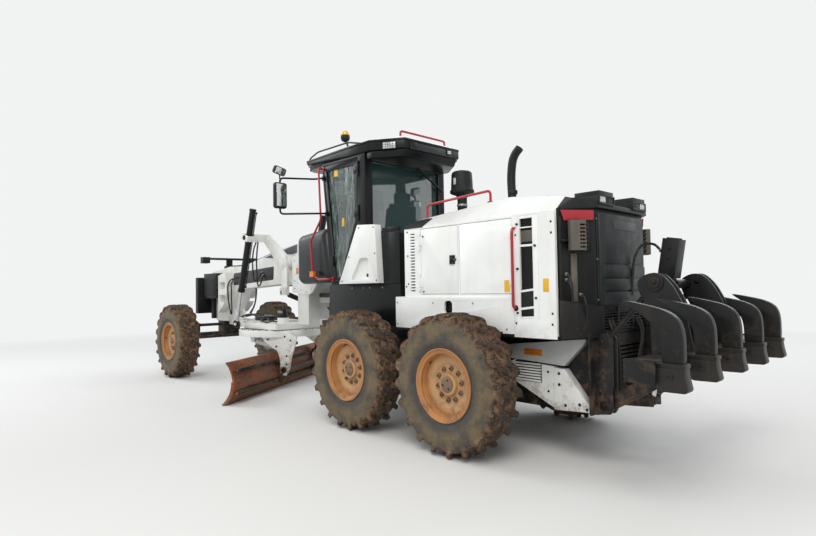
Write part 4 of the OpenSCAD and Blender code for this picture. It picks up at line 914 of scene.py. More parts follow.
# White side panels with the foot recess, and the panels on the frame below the bonnet
def side_panel():
    """The white panel under the cab's door, and the grey and white panels behind the wheels."""
    outline = [(0.636, 1.667), (1.405, 1.667), (1.018, 2.390), (0.680, 2.366)]
    panel = plate(outline, 0.722, 0.815, white)
    recess = plate([(1.150, 1.712), (0.990, 1.955), (0.955, 1.978), (0.835, 1.978), (0.806, 1.950),
                    (0.806, 1.712)], 0.765, 0.90, white)
    softened(recess, 0.012, 3, 30)
    cut(panel, [recess])
    slot = plate([(0.905, 1.745), (0.845, 1.745), (0.835, 1.755), (0.835, 1.775), (0.845, 1.785),
                  (0.905, 1.785), (0.915, 1.775), (0.915, 1.755)], 0.72, 0.80, white)
    cut(panel, [slot])
    made = [panel, block((0.82, 0.745, 1.735), (0.93, 0.755, 1.795), lamp_black)]
    made += side_screws(0.815, ((0.708, 2.335), (0.685, 2.02), (0.660, 1.700), (1.340, 1.700),
                                (0.985, 2.350), (1.195, 2.000)), 0.008, plastic)
    low = sheet([(-1.035, 0.551, 1.032), (-1.052, 0.551, 0.900), (-1.650, 0.551, 0.872),
                 (-1.896, 0.551, 1.128)], 0.075, grey_paint)
    hooked = plate([(-1.090, 0.885), (-1.052, 0.865), (-1.052, 0.700), (-1.544, 0.468),
                    (-1.544, 0.855)], 0.473, 0.53, white_low)
    made.append(block((-1.400, 0.529, 0.694), (-1.105, 0.532, 0.880), lamp_black))
    made += [low, hooked, block((-1.421, 0.549, 0.946), (-1.230, 0.556, 1.004), orange)]
    for i in range(7):
        z = 0.700 + i * 0.026
        made.append(sheet([(-1.110, 0.528, z + 0.016), (-1.110, 0.546, z), (-1.395, 0.546, z),
                           (-1.395, 0.528, z + 0.016)], 0.003, white_low))
    made.append(plate([(-1.553, 0.848), (-1.658, 0.842), (-1.935, 0.490), (-1.542, 0.466)], 0.473,
                      0.555, white_low))
    made += side_screws(0.556, ((-1.60, 0.80), (-1.60, 0.70), (-1.80, 0.545), (-1.66, 0.52), (-1.87, 0.51)),
                        0.011, iron)
    made += side_screws(0.531, ((-1.47, 0.80), (-1.47, 0.62), (-1.10, 0.745)), 0.009, iron)
    return made


keep_for("side_steps", mirrored(side_panel()), "chassis", 0.007, 3)


# Frames and axles of the rear part
def ring_of_screws(centre, r, count, toward, size, finish, start=0.0):
    """Screws on a circle that faces along Y."""
    spots = [(centre[0] + r * math.cos(start + i * 2 * math.pi / count), centre[1],
              centre[2] + r * math.sin(start + i * 2 * math.pi / count)) for i in range(count)]
    return screws(spots, toward, size, finish)


def pin_end(x, z, y, r, out=1):
    """A pin's end with its keeper plate and one screw, facing along Y."""
    made = [rod((x, y, z), (x, y + out * 0.012, z), r, iron, 28),
            rod((x, y, z), (x, y + out * 0.006, z), r * 1.35, black_worn, 28)]
    made += screws([(x, y + out * 0.012, z)], (0, out, 0), r * 0.42, iron)
    return made


posts = []
for x, z in ((-2.017, 1.110), (-2.017, 0.560)):
    posts += pin_end(x, z, 0.511, 0.044)
posts += screws([(-1.975, 0.511, z) for z in (0.66, 0.80, 0.94)], LEFT, 0.010, iron)
posts += screws([(x, 0.471, 1.09) for x in (-1.70, -1.45, -1.15)], LEFT, 0.012, iron)
posts.append(hose([(-1.96, 0.30, 1.30), (-2.00, 0.31, 1.18), (-1.99, 0.25, 0.90),
                   (-1.975, 0.20, 0.62)], 0.013))
posts.append(hose([(-1.96, 0.24, 1.30), (-2.01, 0.25, 1.16), (-2.00, 0.19, 0.90),
                   (-1.975, 0.14, 0.62)], 0.013))
posts += slotted((-1.955, -0.36, 0.72), (-1.947, 0.36, 1.06), lamp_black, 9, 0.3)
posts.append(block((-1.952, 0.39, 0.60), (-1.946, 0.33, 0.68), orange))
posts = mirrored(posts)
posts += [hose([(2.20, y, 1.10), (2.42, y * 1.5, 1.20), (2.56, y * 1.9, 1.33)], 0.013)
          for y in (-0.10, -0.06, 0.06, 0.10)]
stands_for("rear_frame", "chassis", black_worn, 0.005, posts)

hubs = []
for x in (-0.763, 0.763):
    hubs += ring_of_screws((x, 0.841, TYRE_R), 0.190, 12, LEFT, 0.011, iron)
hubs += ring_of_screws((0.0, 0.841, TYRE_R), 0.225, 14, LEFT, 0.012, iron)
hubs += [rod((0.0, 0.838, TYRE_R), (0.0, 0.856, TYRE_R), 0.17, tandem_green, 36),
         block((-0.50, 0.838, 0.60), (-0.30, 0.848, 0.76), tandem_green),
         block((0.30, 0.838, 0.60), (0.50, 0.848, 0.76), tandem_green),
         rod((-0.40, 0.846, 0.68), (-0.40, 0.862, 0.68), 0.018, zinc, 6)]
hubs += screws([(x, 0.848, z) for x in (-0.485, -0.315, 0.315, 0.485) for z in (0.615, 0.745)], LEFT,
               0.008, iron)
stands_for("tandem_axle", "chassis", tandem_green, 0.012, mirrored(hubs))

deck = [block((0.348, 0.699, 1.662), (0.655, CAB_Y, 2.268), cab_black),
        block((0.348, 0.699, 2.274), (0.655, CAB_Y, 2.325), cab_black)]
deck += screws([(x, CAB_Y, 1.612) for x in (0.66, 0.90, 1.02, 1.25)], LEFT, 0.009, zinc)
deck += screws([(x, CAB_Y, z) for x in (0.40, 0.62) for z in (1.70, 2.24)], LEFT, 0.007, plastic)
deck += screws([(x, CAB_Y, 1.24) for x in (0.70, 1.10, 1.40)], LEFT, 0.009, zinc)
deck += slotted((1.485, 0.52, 0.585), (1.760, 0.69, 0.592), zinc, 9, 0.3, 0)
deck += slotted((1.485, 0.52, 0.875), (1.760, 0.69, 0.882), zinc, 9, 0.3, 0)
deck += slotted((1.50, 0.30, 1.6555), (1.74, 0.715, 1.662), zinc, 8, 0.3, 0)
stands_for("cab_base", "chassis", cab_black, 0.006, mirrored(deck))

# Front frame: blank side plates, grey bands, reflectors, the black boxes, lamps, hoses and screws
beam = [plate([(4.215, 1.800), (4.200, 1.995), (4.222, 2.012), (5.700, 1.935), (5.722, 1.915),
               (5.735, 1.725), (5.715, 1.705), (4.240, 1.780)], 0.158, 0.1635, plate_black),
        plate([(4.540, 2.178), (3.435, 2.348), (3.450, 2.205), (4.060, 2.142)], 0.158, 0.1625, band_grey),
        block((3.110, 0.348, 1.852), (3.172, 0.354, 1.948), orange),
        plate([(6.118, 1.458), (6.702, 1.458), (6.702, 1.953), (6.118, 1.953)], 0.158, 0.333, black),
        plate([(6.16, 1.50), (6.66, 1.50), (6.66, 1.91), (6.16, 1.91)], 0.332, 0.338, plastic)]
beam += slotted((6.20, 0.337, 1.55), (6.62, 0.343, 1.86), lamp_black, 9, 0.4)
beam += ring_of_screws((2.90, 0.351, 1.85), 0.285, 12, LEFT, 0.012, white_low)
beam += ring_of_screws((3.51, 0.401, 2.05), 0.085, 6, LEFT, 0.010, white_low)
beam += side_screws(0.3505, ((3.22, 1.62), (3.22, 1.74), (3.22, 2.06)), 0.010, zinc)
beam += side_screws(0.161, ((4.9, 2.06), (5.3, 2.0), (3.75, 1.78), (4.0, 1.76)), 0.010, white_low)
beam.append(rod((6.245, 0.43, 2.21), (6.245, 0.55, 2.21), 0.012, zinc, 12))
lamp_shell = block((6.198, 0.418, 2.148), (6.325, 0.562, 2.272), lamp_black)
for v in lamp_shell.data.vertices:
    if v.co.x < 6.25:
        v.co.y = 0.49 + (v.co.y - 0.49) * 0.7
        v.co.z = 2.21 + (v.co.z - 2.21) * 0.7
beam += [lamp_shell, block((6.322, 0.428, 2.158), (6.331, 0.552, 2.262), clear_lens)]
beam += [hose([(5.55, 0.165, 1.86), (5.60, 0.24, 1.80), (5.62, 0.26, 1.55), (5.66, 0.235, 1.30),
               (5.74, 0.20, 1.15)]),
         hose([(5.60, 0.165, 1.86), (5.68, 0.27, 1.78), (5.70, 0.29, 1.50), (5.72, 0.25, 1.28),
               (5.78, 0.20, 1.16)]),
         hose([(4.60, 0.163, 1.93), (4.52, 0.33, 1.78), (4.30, 0.50, 1.92), (4.16, 0.56, 2.28),
               (4.10, 0.54, 2.42)]),
         hose([(4.56, 0.163, 1.88), (4.46, 0.30, 1.68), (4.22, 0.47, 1.88), (4.10, 0.53, 2.25),
               (4.06, 0.53, 2.41)])]
beam += [rod((4.60, 0.160, 1.93), (4.594, 0.185, 1.912), 0.018, zinc, 6),
         rod((4.56, 0.160, 1.88), (4.554, 0.185, 1.86), 0.018, zinc, 6)]
for x in (4.4, 4.9, 5.4):
    beam.append(block((x - 0.02, 0.10, 2.213 - (x - 4.4) * 0.13),
                      (x + 0.02, 0.125, 2.243 - (x - 4.4) * 0.13), plastic))
beam.append(tube([(3.30, 0.112, 2.385), (4.50, 0.112, 2.218), (5.30, 0.112, 2.078), (5.90, 0.112, 2.082),
                  (6.22, 0.112, 2.05)], 0.012, rubber))
beam = mirrored(beam)
nose = [block((6.905, -0.30, 1.30), (6.914, 0.30, 1.70), white_low)]
nose += screws([(6.913, y, z) for y in (-0.36, 0.36) for z in (1.20, 1.52, 1.83)], (1, 0, 0), 0.016, iron)
valve = [block((6.05, -0.12, 2.04), (6.22, 0.12, 2.10), lamp_black)]
front = second_finish(reworked("front_frame", white_low), black,
                      lambda spot: spot.x > 6.15 and spot.z > 2.10 or spot.x > 6.70)
valve.append(block((6.50, -0.045, 1.05), (6.60, 0.225, 1.90), plastic))
keep_for("front_frame", [front] + beam + nose + valve, "front_body", 0.006)

saddle = pin_end(*LIFT_TOP, 0.786, 0.030)
saddle += side_screws(0.401, ((3.47, 2.02), (3.47, 2.12), (4.05, 2.44), (3.95, 2.42)), 0.011, white_low)
saddle.append(rod((3.51, 0.398, 2.05), (3.51, 0.412, 2.05), 0.060, white_low, 36))
stands_for("lift_saddle", "front_body", white_low, 0.008, mirrored(saddle))

# Drawbar, turning circle and blade
edge_spots = ((3.55, 0.50), (3.80, 0.53), (4.20, 0.53), (4.70, 0.40), (5.0, 0.30), (5.3, 0.17))
draw = mirrored([rod((4.50, 0.555, 1.058), (4.50, 0.555, 1.066), 0.03, iron, 20)] +
                screws([(x, y, 1.060) for x, y in edge_spots], UP, 0.011, zinc))
draw += [rod((3.66, 0.30, 1.145), (3.66, 0.30, 1.215), 0.070, black, 32),
         rod((3.66, 0.30, 1.21), (3.66, 0.30, 1.295), 0.050, black, 28),
         block((3.60, 0.345, 1.222), (3.72, 0.375, 1.262), zinc)]
draw += ring_of_screws((0, 0, 0), 0.082, 8, LEFT, 0.009, iron)
for piece in draw[-8:]:
    piece.data.transform(Matrix.Translation((3.66, 0.30, 1.149)) @ Matrix.Rotation(math.pi / 2, 4, "X"))
draw.append(block((4.56, -0.17, 1.059), (4.86, 0.17, 1.130), black))
draw += [rod((4.60 + i * 0.055, 0.0, 1.13), (4.60 + i * 0.055, 0.0, 1.155), 0.016, zinc, 6) for i in range(5)]
for y in (0.07, 0.11, -0.07, -0.11):
    last = (3.70, 0.33, 1.20) if y > 0 else (3.70, y * 3.2, 1.08)
    draw.append(hose([(4.58, y, 1.10), (4.40, y * 2.6, 1.105), (4.10, y * 4.1, 1.085),
                      (3.80, y * 3.9, 1.095), last]))
    draw.append(hose([(4.85, y, 1.10), (5.10, y, 1.16), (5.45, y * 0.8, 1.13), (5.62, y * 0.5, 1.10)]))
draw += ring_of_screws((5.8, 0.067, 1.025), 0.045, 8, LEFT, 0.006, iron)
stands_for("drawbar", "drawbar", white_low, 0.006, draw)


def in_circle(pieces):
    """From the turning circle's own directions to the machine's."""
    for piece in pieces:
        moved(piece, (CIRCLE_X, 0, 0), BLADE_TURN, "Z")
    return pieces


arms = side_screws(0.701, ((-0.38, 0.42), (-0.30, 0.27), (-0.26, 0.42), (-0.38, 0.55), (-0.20, 0.70),
                           (-0.05, 0.81), (-0.35, 0.86), (-0.45, 0.80)), 0.013, iron)
arms += pin_end(-0.330, 0.330, 0.701, 0.038)
arms = mirrored(arms)
RING_SCREWS = 36
for i in range(RING_SCREWS):
    a = i * 2 * math.pi / RING_SCREWS + 0.06
    arms += screws([(0.735 * math.cos(a), 0.735 * math.sin(a), 0.9505)], UP, 0.009, iron)
stands_for("turning_circle", "turning_circle", white_low, 0.004, in_circle(arms))

blade = reworked("moldboard", scoured)
blade.data.materials.append(black_worn)
blade.data.materials.append(edge_steel)
back_turn = Matrix.Rotation(-BLADE_TURN, 4, "Z") @ Matrix.Translation((-CIRCLE_X, 0, 0))
for face in blade.data.polygons:
    spot = back_turn @ face.center
    toward = back_turn.to_3x3() @ face.normal
    on_rail = min(abs(spot.z - z) for z in RAILS) < 0.04
    if spot.x < -0.19 and abs(toward.x) + abs(toward.z) > 0.5 and on_rail:
        face.material_index = 1
    elif toward.x > 0.2 and spot.z < 0.175:
        face.material_index = 2
nuts = []
for i in range(23):
    y = 0.0625 - 1.75 + i * 3.5 / 22
    for z in (0.055, 0.125):
        reach = FACE_X - math.sqrt(FACE_R ** 2 - (FACE_Z - z) ** 2)
        lean = Vector((reach - FACE_X, 0, z - FACE_Z)).normalized()
        nuts += screws([(reach, y, z)], lean, 0.013, scoured)
keep_for("moldboard", [blade] + in_circle(nuts), "moldboard")


# Hydraulic cylinders: gland rings, port blocks and pipes on the barrels
def along(start, stop, near, far):
    """Two points on the line from start to stop, at distances from start."""
    way = (Vector(stop) - Vector(start)).normalized()
    return Vector(start) + way * near, Vector(start) + way * far


def barrel_trim(start, stop, low, high, r, side, finish):
    """Gland ring, end cap, two ports and a pipe for a barrel that reaches from low to high along its line."""
    made = [rod(*along(start, stop, high - 0.045, high + 0.002), r * 1.12, finish, 32),
            rod(*along(start, stop, high, high + 0.010), r * 0.72, iron, 28)]
    if low < 0:
        made.append(rod(*along(start, stop, low - 0.001, low + 0.03), r * 1.08, finish, 32))
    side = Vector(side)
    pipe = along(start, stop, low + 0.06, high - 0.08)
    for p in pipe:
        made.append(rod(p + side * r * 0.8, p + side * (r + 0.030), 0.016, finish, 12))
    made.append(tube([pipe[0] + side * (r + 0.018), pipe[1] + side * (r + 0.018)], 0.008, finish, sides=3))
    return made


for word, sign in (("left", 1), ("right", -1)):
    lift_top, lift_low = ((x, LIFT_Y * sign, z) for x, z in (LIFT_TOP, LIFT_LOW))
    trim = barrel_trim(lift_top, lift_low, -0.48, 0.93, 0.052, (0, -sign, 0), black)
    stands_for("lift_barrel_" + word, "lift_barrel_" + word, black, 0.004, trim)
    rod_stands_for("lift_rod_" + word, lift_low, 0.11)
stands_for("shift_barrel", "shift_barrel", black, 0.003,
           barrel_trim(SHIFT_TOP, SHIFT_LOW, 0.13, 0.48, 0.040, (-1, 0, 0), black))
rod_stands_for("shift_rod", SHIFT_LOW, 0.075)
circle_place = Matrix.Translation((CIRCLE_X, 0, 0)) @ Matrix.Rotation(BLADE_TURN, 4, "Z")
tilt_top, tilt_low = circle_place @ Vector(TILT_TOP), circle_place @ Vector(TILT_LOW)
stands_for("tilt_barrel", "tilt_barrel", grey_paint, 0.003,
           barrel_trim(tilt_top, tilt_low, 0.08, 0.40, 0.042, (0, 0, 1), grey_paint))
rod_stands_for("tilt_rod", tilt_low, 0.07)
rod_stands_for("ripper_rod", RIPPER_LOW, 0.10)


# Ripper: shanks with smooth outlines, sockets with their pins, and plates with pin bosses
def rounded(outline, bend, steps=5):
    """An outline with its corners drawn as curves."""
    made = []
    for i, corner in enumerate(outline):
        c = Vector(corner)
        before, after = Vector(outline[i - 1]), Vector(outline[(i + 1) % len(outline)])
        near = c + (before - c).normalized() * min(bend, (before - c).length / 2.05)
        far = c + (after - c).normalized() * min(bend, (after - c).length / 2.05)
        made += [tuple(near.lerp(c, k / steps).lerp(c.lerp(far, k / steps), k / steps))
                 for k in range(steps + 1)]
    return made


def shank(y):
    """One shank, carried with its hook to the rear, in a socket with a pin."""
    hook = rounded([(-2.940, 1.000), (-2.940, 1.330), (-2.850, 1.425), (-2.545, 1.492), (-2.535, 1.480),
                    (-2.735, 1.345), (-2.800, 1.270), (-2.800, 1.000)], 0.12)
    socket = rounded([(-2.948, 1.066), (-2.952, 0.990), (-2.970, 0.900), (-2.955, 0.882), (-2.790, 0.880),
                      (-2.761, 0.895), (-2.759, 1.066)], 0.012, 3)
    shape = plate(hook, y - 0.030, y + 0.030, black_worn)
    holder = plate(socket, y - 0.046, y + 0.046, worn_tip)
    for v in holder.data.vertices:
        v.co.y = y + (v.co.y - y) * (1.0 + 0.10 * (1.066 - v.co.z) / 0.186)
    made = [shape, holder,
            plate(rounded([(-2.955, 1.070), (-2.955, 1.040), (-2.759, 1.040), (-2.759, 1.070)], 0.006, 2),
                  y - 0.050, y + 0.050, worn_tip)]
    for side in (1, -1):
        made += [rod((-2.850, y + 0.044 * side, 0.985), (-2.850, y + 0.056 * side, 0.985), 0.026,
                     worn_tip, 24),
                 rod((-2.850, y + 0.054 * side, 0.985), (-2.850, y + 0.060 * side, 0.985), 0.013, iron, 16)]
    return made


EYE_PLATE = [(-2.440, 0.800), (-2.420, 1.400), (-2.335, 1.540), (-2.325, 1.640), (-2.420, 1.695),
             (-2.520, 1.690), (-2.610, 1.590), (-2.690, 1.430), (-2.760, 1.060), (-2.600, 0.900),
             (-2.560, 0.800)]
carriage = [block((-2.760, -1.270, 0.937), (-2.570, 1.270, 1.076), black_worn)]
for i in range(-2, 3):
    carriage += shank(SHANK_PITCH * i)
side_parts = [plate(rounded(EYE_PLATE, 0.055), low_y, low_y + 0.025, black_worn) for low_y in (0.400, 0.485)]
for (x, z), y0, y1, r, finish, sides in ((LOWER_EYE, 0.400, 0.510, 0.030, iron, 28),
                                         (UPPER_EYE, 0.400, 0.510, 0.025, iron, 28),
                                         ((-2.375, 1.600), 0.126, 0.401, 0.042, black_worn, 28),
                                         (UPPER_EYE, 0.509, 0.524, 0.074, black_worn, 36),
                                         (UPPER_EYE, 0.523, 0.532, 0.048, iron, 32),
                                         (LOWER_EYE, 0.509, 0.522, 0.062, black_worn, 36),
                                         (LOWER_EYE, 0.521, 0.530, 0.040, iron, 32)):
    side_parts.append(rod((x, y0, z), (x, y1, z), r, finish, sides))
for (x, z), y in ((UPPER_EYE, 0.531), (LOWER_EYE, 0.529)):
    side_parts += screws([(x, y, z)], LEFT, 0.020, iron)
side_parts += screws([(-2.515, 0.510, 1.500), (-2.560, 0.510, 1.300), (-2.500, 0.510, 1.100)], LEFT,
                     0.010, iron)
side_parts += [plate([(-2.775, 0.925), (-2.775, 1.088), (-2.555, 1.088), (-2.555, 0.925)], 1.262,
                     1.275, black_worn),
               plate([(-2.690, 1.070), (-2.610, 1.070), (-2.520, 1.300), (-2.560, 1.300)], 0.426,
                     0.484, black_worn)]
carriage += mirrored(side_parts)
keep_for("ripper_carriage", carriage, "ripper_carriage", 0.005)
guard_bolts = screws([(-2.413, 0.072, 1.827), (-2.427, 0.072, 1.912)], LEFT, 0.013, iron)
guard_bolts.append(rod((-2.34, -0.03, 1.893), (-2.30, -0.045, 1.905), 0.019, zinc, 6))
stands_for("ripper_barrel", "ripper_barrel", black_worn, 0.006, guard_bolts)

# Rails and mirrors
feet = [rod((-1.325, 0.781, 2.140), (-1.325, 0.806, 2.140), 0.028, red, 20),
        rod((-1.325, 0.801, 1.400), (-1.325, 0.808, 1.400), 0.028, red, 20),
        block((1.990, 0.772, 1.775), (2.078, 0.820, 1.850), orange),
        block((1.985, 0.766, 1.770), (2.083, 0.774, 1.855), plastic),
        rod((1.872, CAB_Y, 3.240), (1.872, 0.727, 3.240), 0.030, red, 20),
        rod((1.675, CAB_Y, 1.735), (1.675, 0.727, 1.735), 0.030, red, 20)]
feet = mirrored(feet)
feet += [rod((x, 0.480, z), (x, 0.480, z + 0.012), 0.032, red, 20)
         for x, z in ((0.12, 2.374), (-0.80, 2.474))]
stands_for("handrails", "chassis", red, 0.0, feet)

arm_route = [(1.862, 0.721, 3.110), (1.862, 0.757, 3.110), (1.945, 0.800, 3.105), (2.105, 1.250, 3.090),
             (2.105, 1.250, 2.610), (1.792, 0.790, 2.620), (1.792, 0.721, 2.620)]
shell = block((2.062, 1.160, 2.682), (2.150, 1.342, 3.028), plastic)
softened(shell, 0.034, 5)
pane = block((2.052, 1.178, 2.706), (2.066, 1.324, 3.004), mirror_glass)
small = block((2.070, 1.168, 3.130), (2.150, 1.345, 3.235), plastic)
softened(small, 0.028, 4)
small_pane = block((2.062, 1.185, 3.142), (2.074, 1.328, 3.222), mirror_glass)
for piece in (small, small_pane):
    piece.data.transform(Matrix.Translation((2.10, 1.25, 3.18)) @
                         Matrix.Rotation(math.radians(14), 4, "X") @
                         Matrix.Rotation(math.radians(-18), 4, "Y") @
                         Matrix.Translation((-2.10, -1.25, -3.18)))
looking_back = [tube(arm_route, 0.013, black, 0.05), shell, pane, small, small_pane,
                tube([(2.105, 1.250, 3.06), (2.115, 1.250, 3.15)], 0.009, black),
                block((1.835, CAB_Y, 3.080), (1.875, 0.740, 3.140), black),
                block((1.772, CAB_Y, 2.590), (1.812, 0.740, 2.650), black),
                rod((2.105, 1.250, 2.72), (2.105, 1.250, 2.76), 0.022, plastic, 20),
                rod((2.105, 1.250, 2.95), (2.105, 1.250, 2.99), 0.022, plastic, 20)]
keep_for("mirrors", mirrored(looking_back), "chassis", 0.0015)

# Cab: wiper, window rubbers, door handles, seat, steering column and levers
cab_trim = [tube([(0.962, -0.085, 3.255), (0.940, -0.094, 3.247), (0.936, -0.400, 3.085),
                  (0.938, -0.661, 2.950)], 0.013, plastic, sides=3),
            block((0.940, -0.675, 2.925), (0.952, -0.30, 2.937), rubber),
            rod((0.975, -0.105, 3.262), (0.940, -0.105, 3.262), 0.018, plastic, 16)]
moved(cab_trim[1], (0, 0, 0.105), math.radians(27), "X", (0.946, -0.49, 2.93))
for y0, y1, z0, z1 in ((-0.615, 0.615, 2.312, 2.332), (-0.615, 0.615, 3.198, 3.216),
                       (-0.616, -0.598, 2.33, 3.20), (0.598, 0.616, 2.33, 3.20)):
    cab_trim.append(block((0.966, y0, z0), (0.973, y1, z1), rubber))
cab_trim.append(tube([(2.36, 0.22, 2.30), (2.37, 0.20, 2.45), (2.385, 0.02, 2.95)], 0.007, plastic, sides=3))
cab_trim += [block((1.20, -0.65, 3.262), (1.85, 0.65, 3.279), plastic),
             block((1.10, -0.60, 1.688), (1.75, 0.60, 1.694), rubber)]
stands_for("cab_frame", "chassis", cab_black, 0.006, cab_trim)

cushion = block((1.080, -0.245, 2.040), (1.560, 0.245, 2.130), cloth)
softened(cushion, 0.040, 5)
backrest = plate([(1.060, 2.110), (1.165, 2.110), (1.095, 2.720), (1.030, 2.720)], -0.235, 0.235, cloth)
softened(backrest, 0.032, 5)
head = block((1.030, -0.135, 2.700), (1.105, 0.135, 2.875), cloth)
softened(head, 0.032, 5)
chair = [cushion, backrest, head, rod((1.060, -0.06, 2.66), (1.066, -0.06, 2.72), 0.007, chrome, 12),
         rod((1.060, 0.06, 2.66), (1.066, 0.06, 2.72), 0.007, chrome, 12)]
for y_sign in (1, -1):
    wing = plate([(1.120, 2.135), (1.215, 2.135), (1.130, 2.660), (1.085, 2.660)], 0.185 * y_sign,
                 0.240 * y_sign, cloth)
    softened(wing, 0.02, 4)
    rest = block((1.090, 0.268 * y_sign, 2.225), (1.500, 0.352 * y_sign, 2.300), plastic)
    edited(rest, outward)
    softened(rest, 0.025, 4)
    stand = block((1.150, 0.245 * y_sign, 2.060), (1.220, 0.300 * y_sign, 2.240), plastic)
    edited(stand, outward)
    lever = [rod((1.470, 0.310 * y_sign, 2.295), (1.480, 0.310 * y_sign, 2.360), 0.008, plastic, 12),
             spun([(0.0, 2.350), (0.018, 2.355), (0.023, 2.375), (0.020, 2.410), (0.0, 2.420)],
                  (1.480, 0.310 * y_sign, 0), "Z", plastic, 20, False)]
    chair += [wing, rest, stand] + lever
for i in range(5):
    ring = spun([(0.115, 1.72 + i * 0.05), (0.150, 1.745 + i * 0.05), (0.115, 1.77 + i * 0.05)],
                (1.270, 0, 0), "Z", rubber, 36)
    chair.append(ring)
chair += [block((1.10, -0.20, 1.688), (1.46, 0.20, 1.722), plastic),
          block((1.10, -0.22, 1.965), (1.50, 0.22, 2.040), plastic)]
keep_for("seat", chair, "chassis", 0.002)

column = [plate([(1.790, 1.686), (1.955, 1.686), (1.905, 2.290), (1.815, 2.330)], -0.085, 0.085, plastic)]
softened(column[0], 0.025, 4)
grip_round = [(0.187 + 0.0135 * math.cos(a * math.pi / 5), 0.0135 * math.sin(a * math.pi / 5))
              for a in range(10)]
wheel = spun(grip_round, (0, 0, 0), "Z", plastic, 56)
spokes = [block((-0.030, -0.180, -0.010), (0.030, 0.180, -0.001), plastic),
          rod((0, 0, -0.075), (0, 0, 0.006), 0.042, plastic, 28),
          rod((0, 0, -0.14), (0, 0, -0.06), 0.026, plastic, 20)]
for piece in [wheel] + spokes:
    piece.data.transform(Matrix.Translation((1.800, 0, 2.400)) @ Matrix.Rotation(math.radians(-35), 4, "Y"))
screen = block((1.860, -0.16, 2.30), (1.885, 0.16, 2.43), lamp_black)
column += [wheel] + spokes + [screen, block((1.857, -0.145, 2.315), (1.861, 0.145, 2.415), glass_dark)]
column += [block((1.86, y - 0.04, 1.69), (1.95, y + 0.04, 1.76), rubber) for y in (-0.22, 0.22)]
keep("console_finished", column, "chassis", 0.002, replaced=("control_console",))

for word, sign in (("left", 1), ("right", -1)):
    grip = [block((1.635, CAB_Y, 1.905), (1.665, 0.748, 2.035), plastic),
            block((1.605, CAB_Y, 1.950), (1.700, 0.727, 1.992), plastic)]
    for z in (2.560, 3.120):
        grip.append(block((1.100, CAB_Y, z - 0.05), (1.190, CAB_Y + 0.008, z + 0.05), cab_black))
        grip += screws([(x, CAB_Y + 0.008, z + dz) for x in (1.125, 1.165) for dz in (-0.03, 0.03)],
                       LEFT, 0.006, plastic)
    stands_for("door_" + word, "cab_door_" + word, cab_black, 0.004, sided(grip, sign))
labels = [block((1.560, 0.7030, 3.100), (1.640, 0.7042, 3.205), yellow),
          block((1.430, 0.7030, 2.420), (1.475, 0.7042, 2.530), yellow)]
keep("door_stickers", labels, "cab_door_left", 0.0)

FINISHES = {
    "engine": iron, "cab_glass": glass, "door_left_glass": film_glass, "door_right_glass": glass,
}
for name, finish in FINISHES.items():
    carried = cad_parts[name]
    if not carried.material_slots:
        carried.data.materials.append(finish)
    for finish_slot in carried.material_slots:
        finish_slot.material = finish

bpy.data.objects.remove(head_pattern)

# Floor, world, lamps and the camera at the photograph's place
deselect()
bpy.ops.mesh.primitive_plane_add(size=80, location=(0, 0, 0))
floor = bpy.context.object
floor.name = "floor"
floor_finish, tree, shader, place = blank("pale_floor")
shader.inputs["Base Color"].default_value = linear("DEDDDA")
shader.inputs["Roughness"].default_value = 0.9
radius = node(tree, "ShaderNodeVectorMath", {0: place}, operation="LENGTH").outputs["Value"]
haze = node(tree, "ShaderNodeEmission", {"Color": linear("F7F8F8"), "Strength": 0.95}).outputs[0]
fading = node(tree, "ShaderNodeMixShader", {0: step(tree, radius, 7.5, 17.0), 1: shader.outputs[0], 2: haze})
tree.links.new(fading.outputs[0], tree.nodes["Material Output"].inputs["Surface"])
floor.data.materials.append(floor_finish)

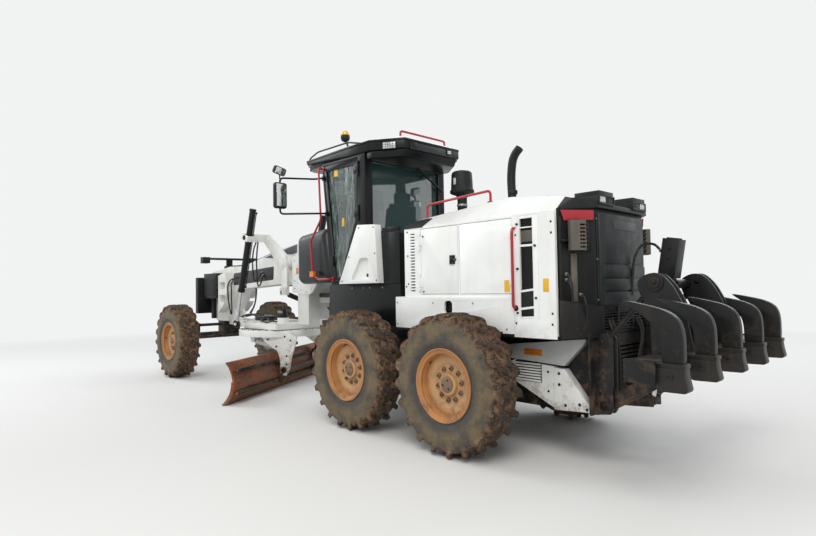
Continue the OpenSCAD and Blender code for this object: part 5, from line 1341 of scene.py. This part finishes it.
world = bpy.data.worlds.new("soft_studio")
bpy.context.scene.world = world
world.use_nodes = True
tree = world.node_tree
sky = tree.nodes["Background"]
path = node(tree, "ShaderNodeLightPath")
seen = node(tree, "ShaderNodeMath", {0: path.outputs["Is Camera Ray"], 1: path.outputs["Is Glossy Ray"]},
            operation="MAXIMUM")
seen = node(tree, "ShaderNodeMath", {0: seen.outputs[0], 1: path.outputs["Is Transmission Ray"]},
            operation="MAXIMUM")
lit = node(tree, "ShaderNodeBackground", {"Color": linear("F4F7FA"), "Strength": 0.62})
sky.inputs["Color"].default_value = linear("F7F8F8")
sky.inputs["Strength"].default_value = 0.95
mixed = node(tree, "ShaderNodeMixShader", {0: seen.outputs[0], 1: lit.outputs[0], 2: sky.outputs[0]})
tree.links.new(mixed.outputs[0], tree.nodes["World Output"].inputs["Surface"])


def lamp(name, spot, aim, size, watts, tint):
    """A soft square lamp."""
    light = bpy.data.lights.new(name, "AREA")
    light.size = size
    light.energy = watts
    light.color = linear(tint)[:3]
    held = bpy.data.objects.new(name, light)
    held.location = spot
    held.rotation_euler = (Vector(aim) - Vector(spot)).to_track_quat("-Z", "Y").to_euler()
    bpy.context.collection.objects.link(held)


lamp("main_lamp", (-9.0, 10.0, 12.0), (0, 0, 1), 9.0, 1500, "FFFDFA")
lamp("front_lamp", (10.0, 6.0, 9.0), (1, 0, 1), 8.0, 700, "F6FAFF")
lamp("far_lamp", (-2.0, -12.0, 10.0), (0, 0, 1), 9.0, 700, "F6FAFF")

view = bpy.data.cameras.new("photo_camera")
view.lens = 24.37
view.sensor_width = 36.0
view.clip_end = 200
camera = bpy.data.objects.new("photo_camera", view)
bpy.context.collection.objects.link(camera)
bpy.context.scene.camera = camera
yaw, pitch, roll = (math.radians(v) for v in (43.262, 2.036, -0.943))
ahead = Vector((math.cos(yaw) * math.cos(pitch), -math.sin(yaw) * math.cos(pitch), math.sin(pitch)))
right = ahead.cross(Vector(UP)).normalized()
up = right.cross(ahead)
turned_right = math.cos(roll) * right + math.sin(roll) * up
turned_up = -math.sin(roll) * right + math.cos(roll) * up
eye = (-6.351, 5.024, 1.606)
columns = (turned_right, turned_up, -ahead, eye)
camera.matrix_world = Matrix([[column[row] for column in columns] for row in range(3)] + [[0, 0, 0, 1]])
bpy.context.scene.view_settings.view_transform = "Standard"
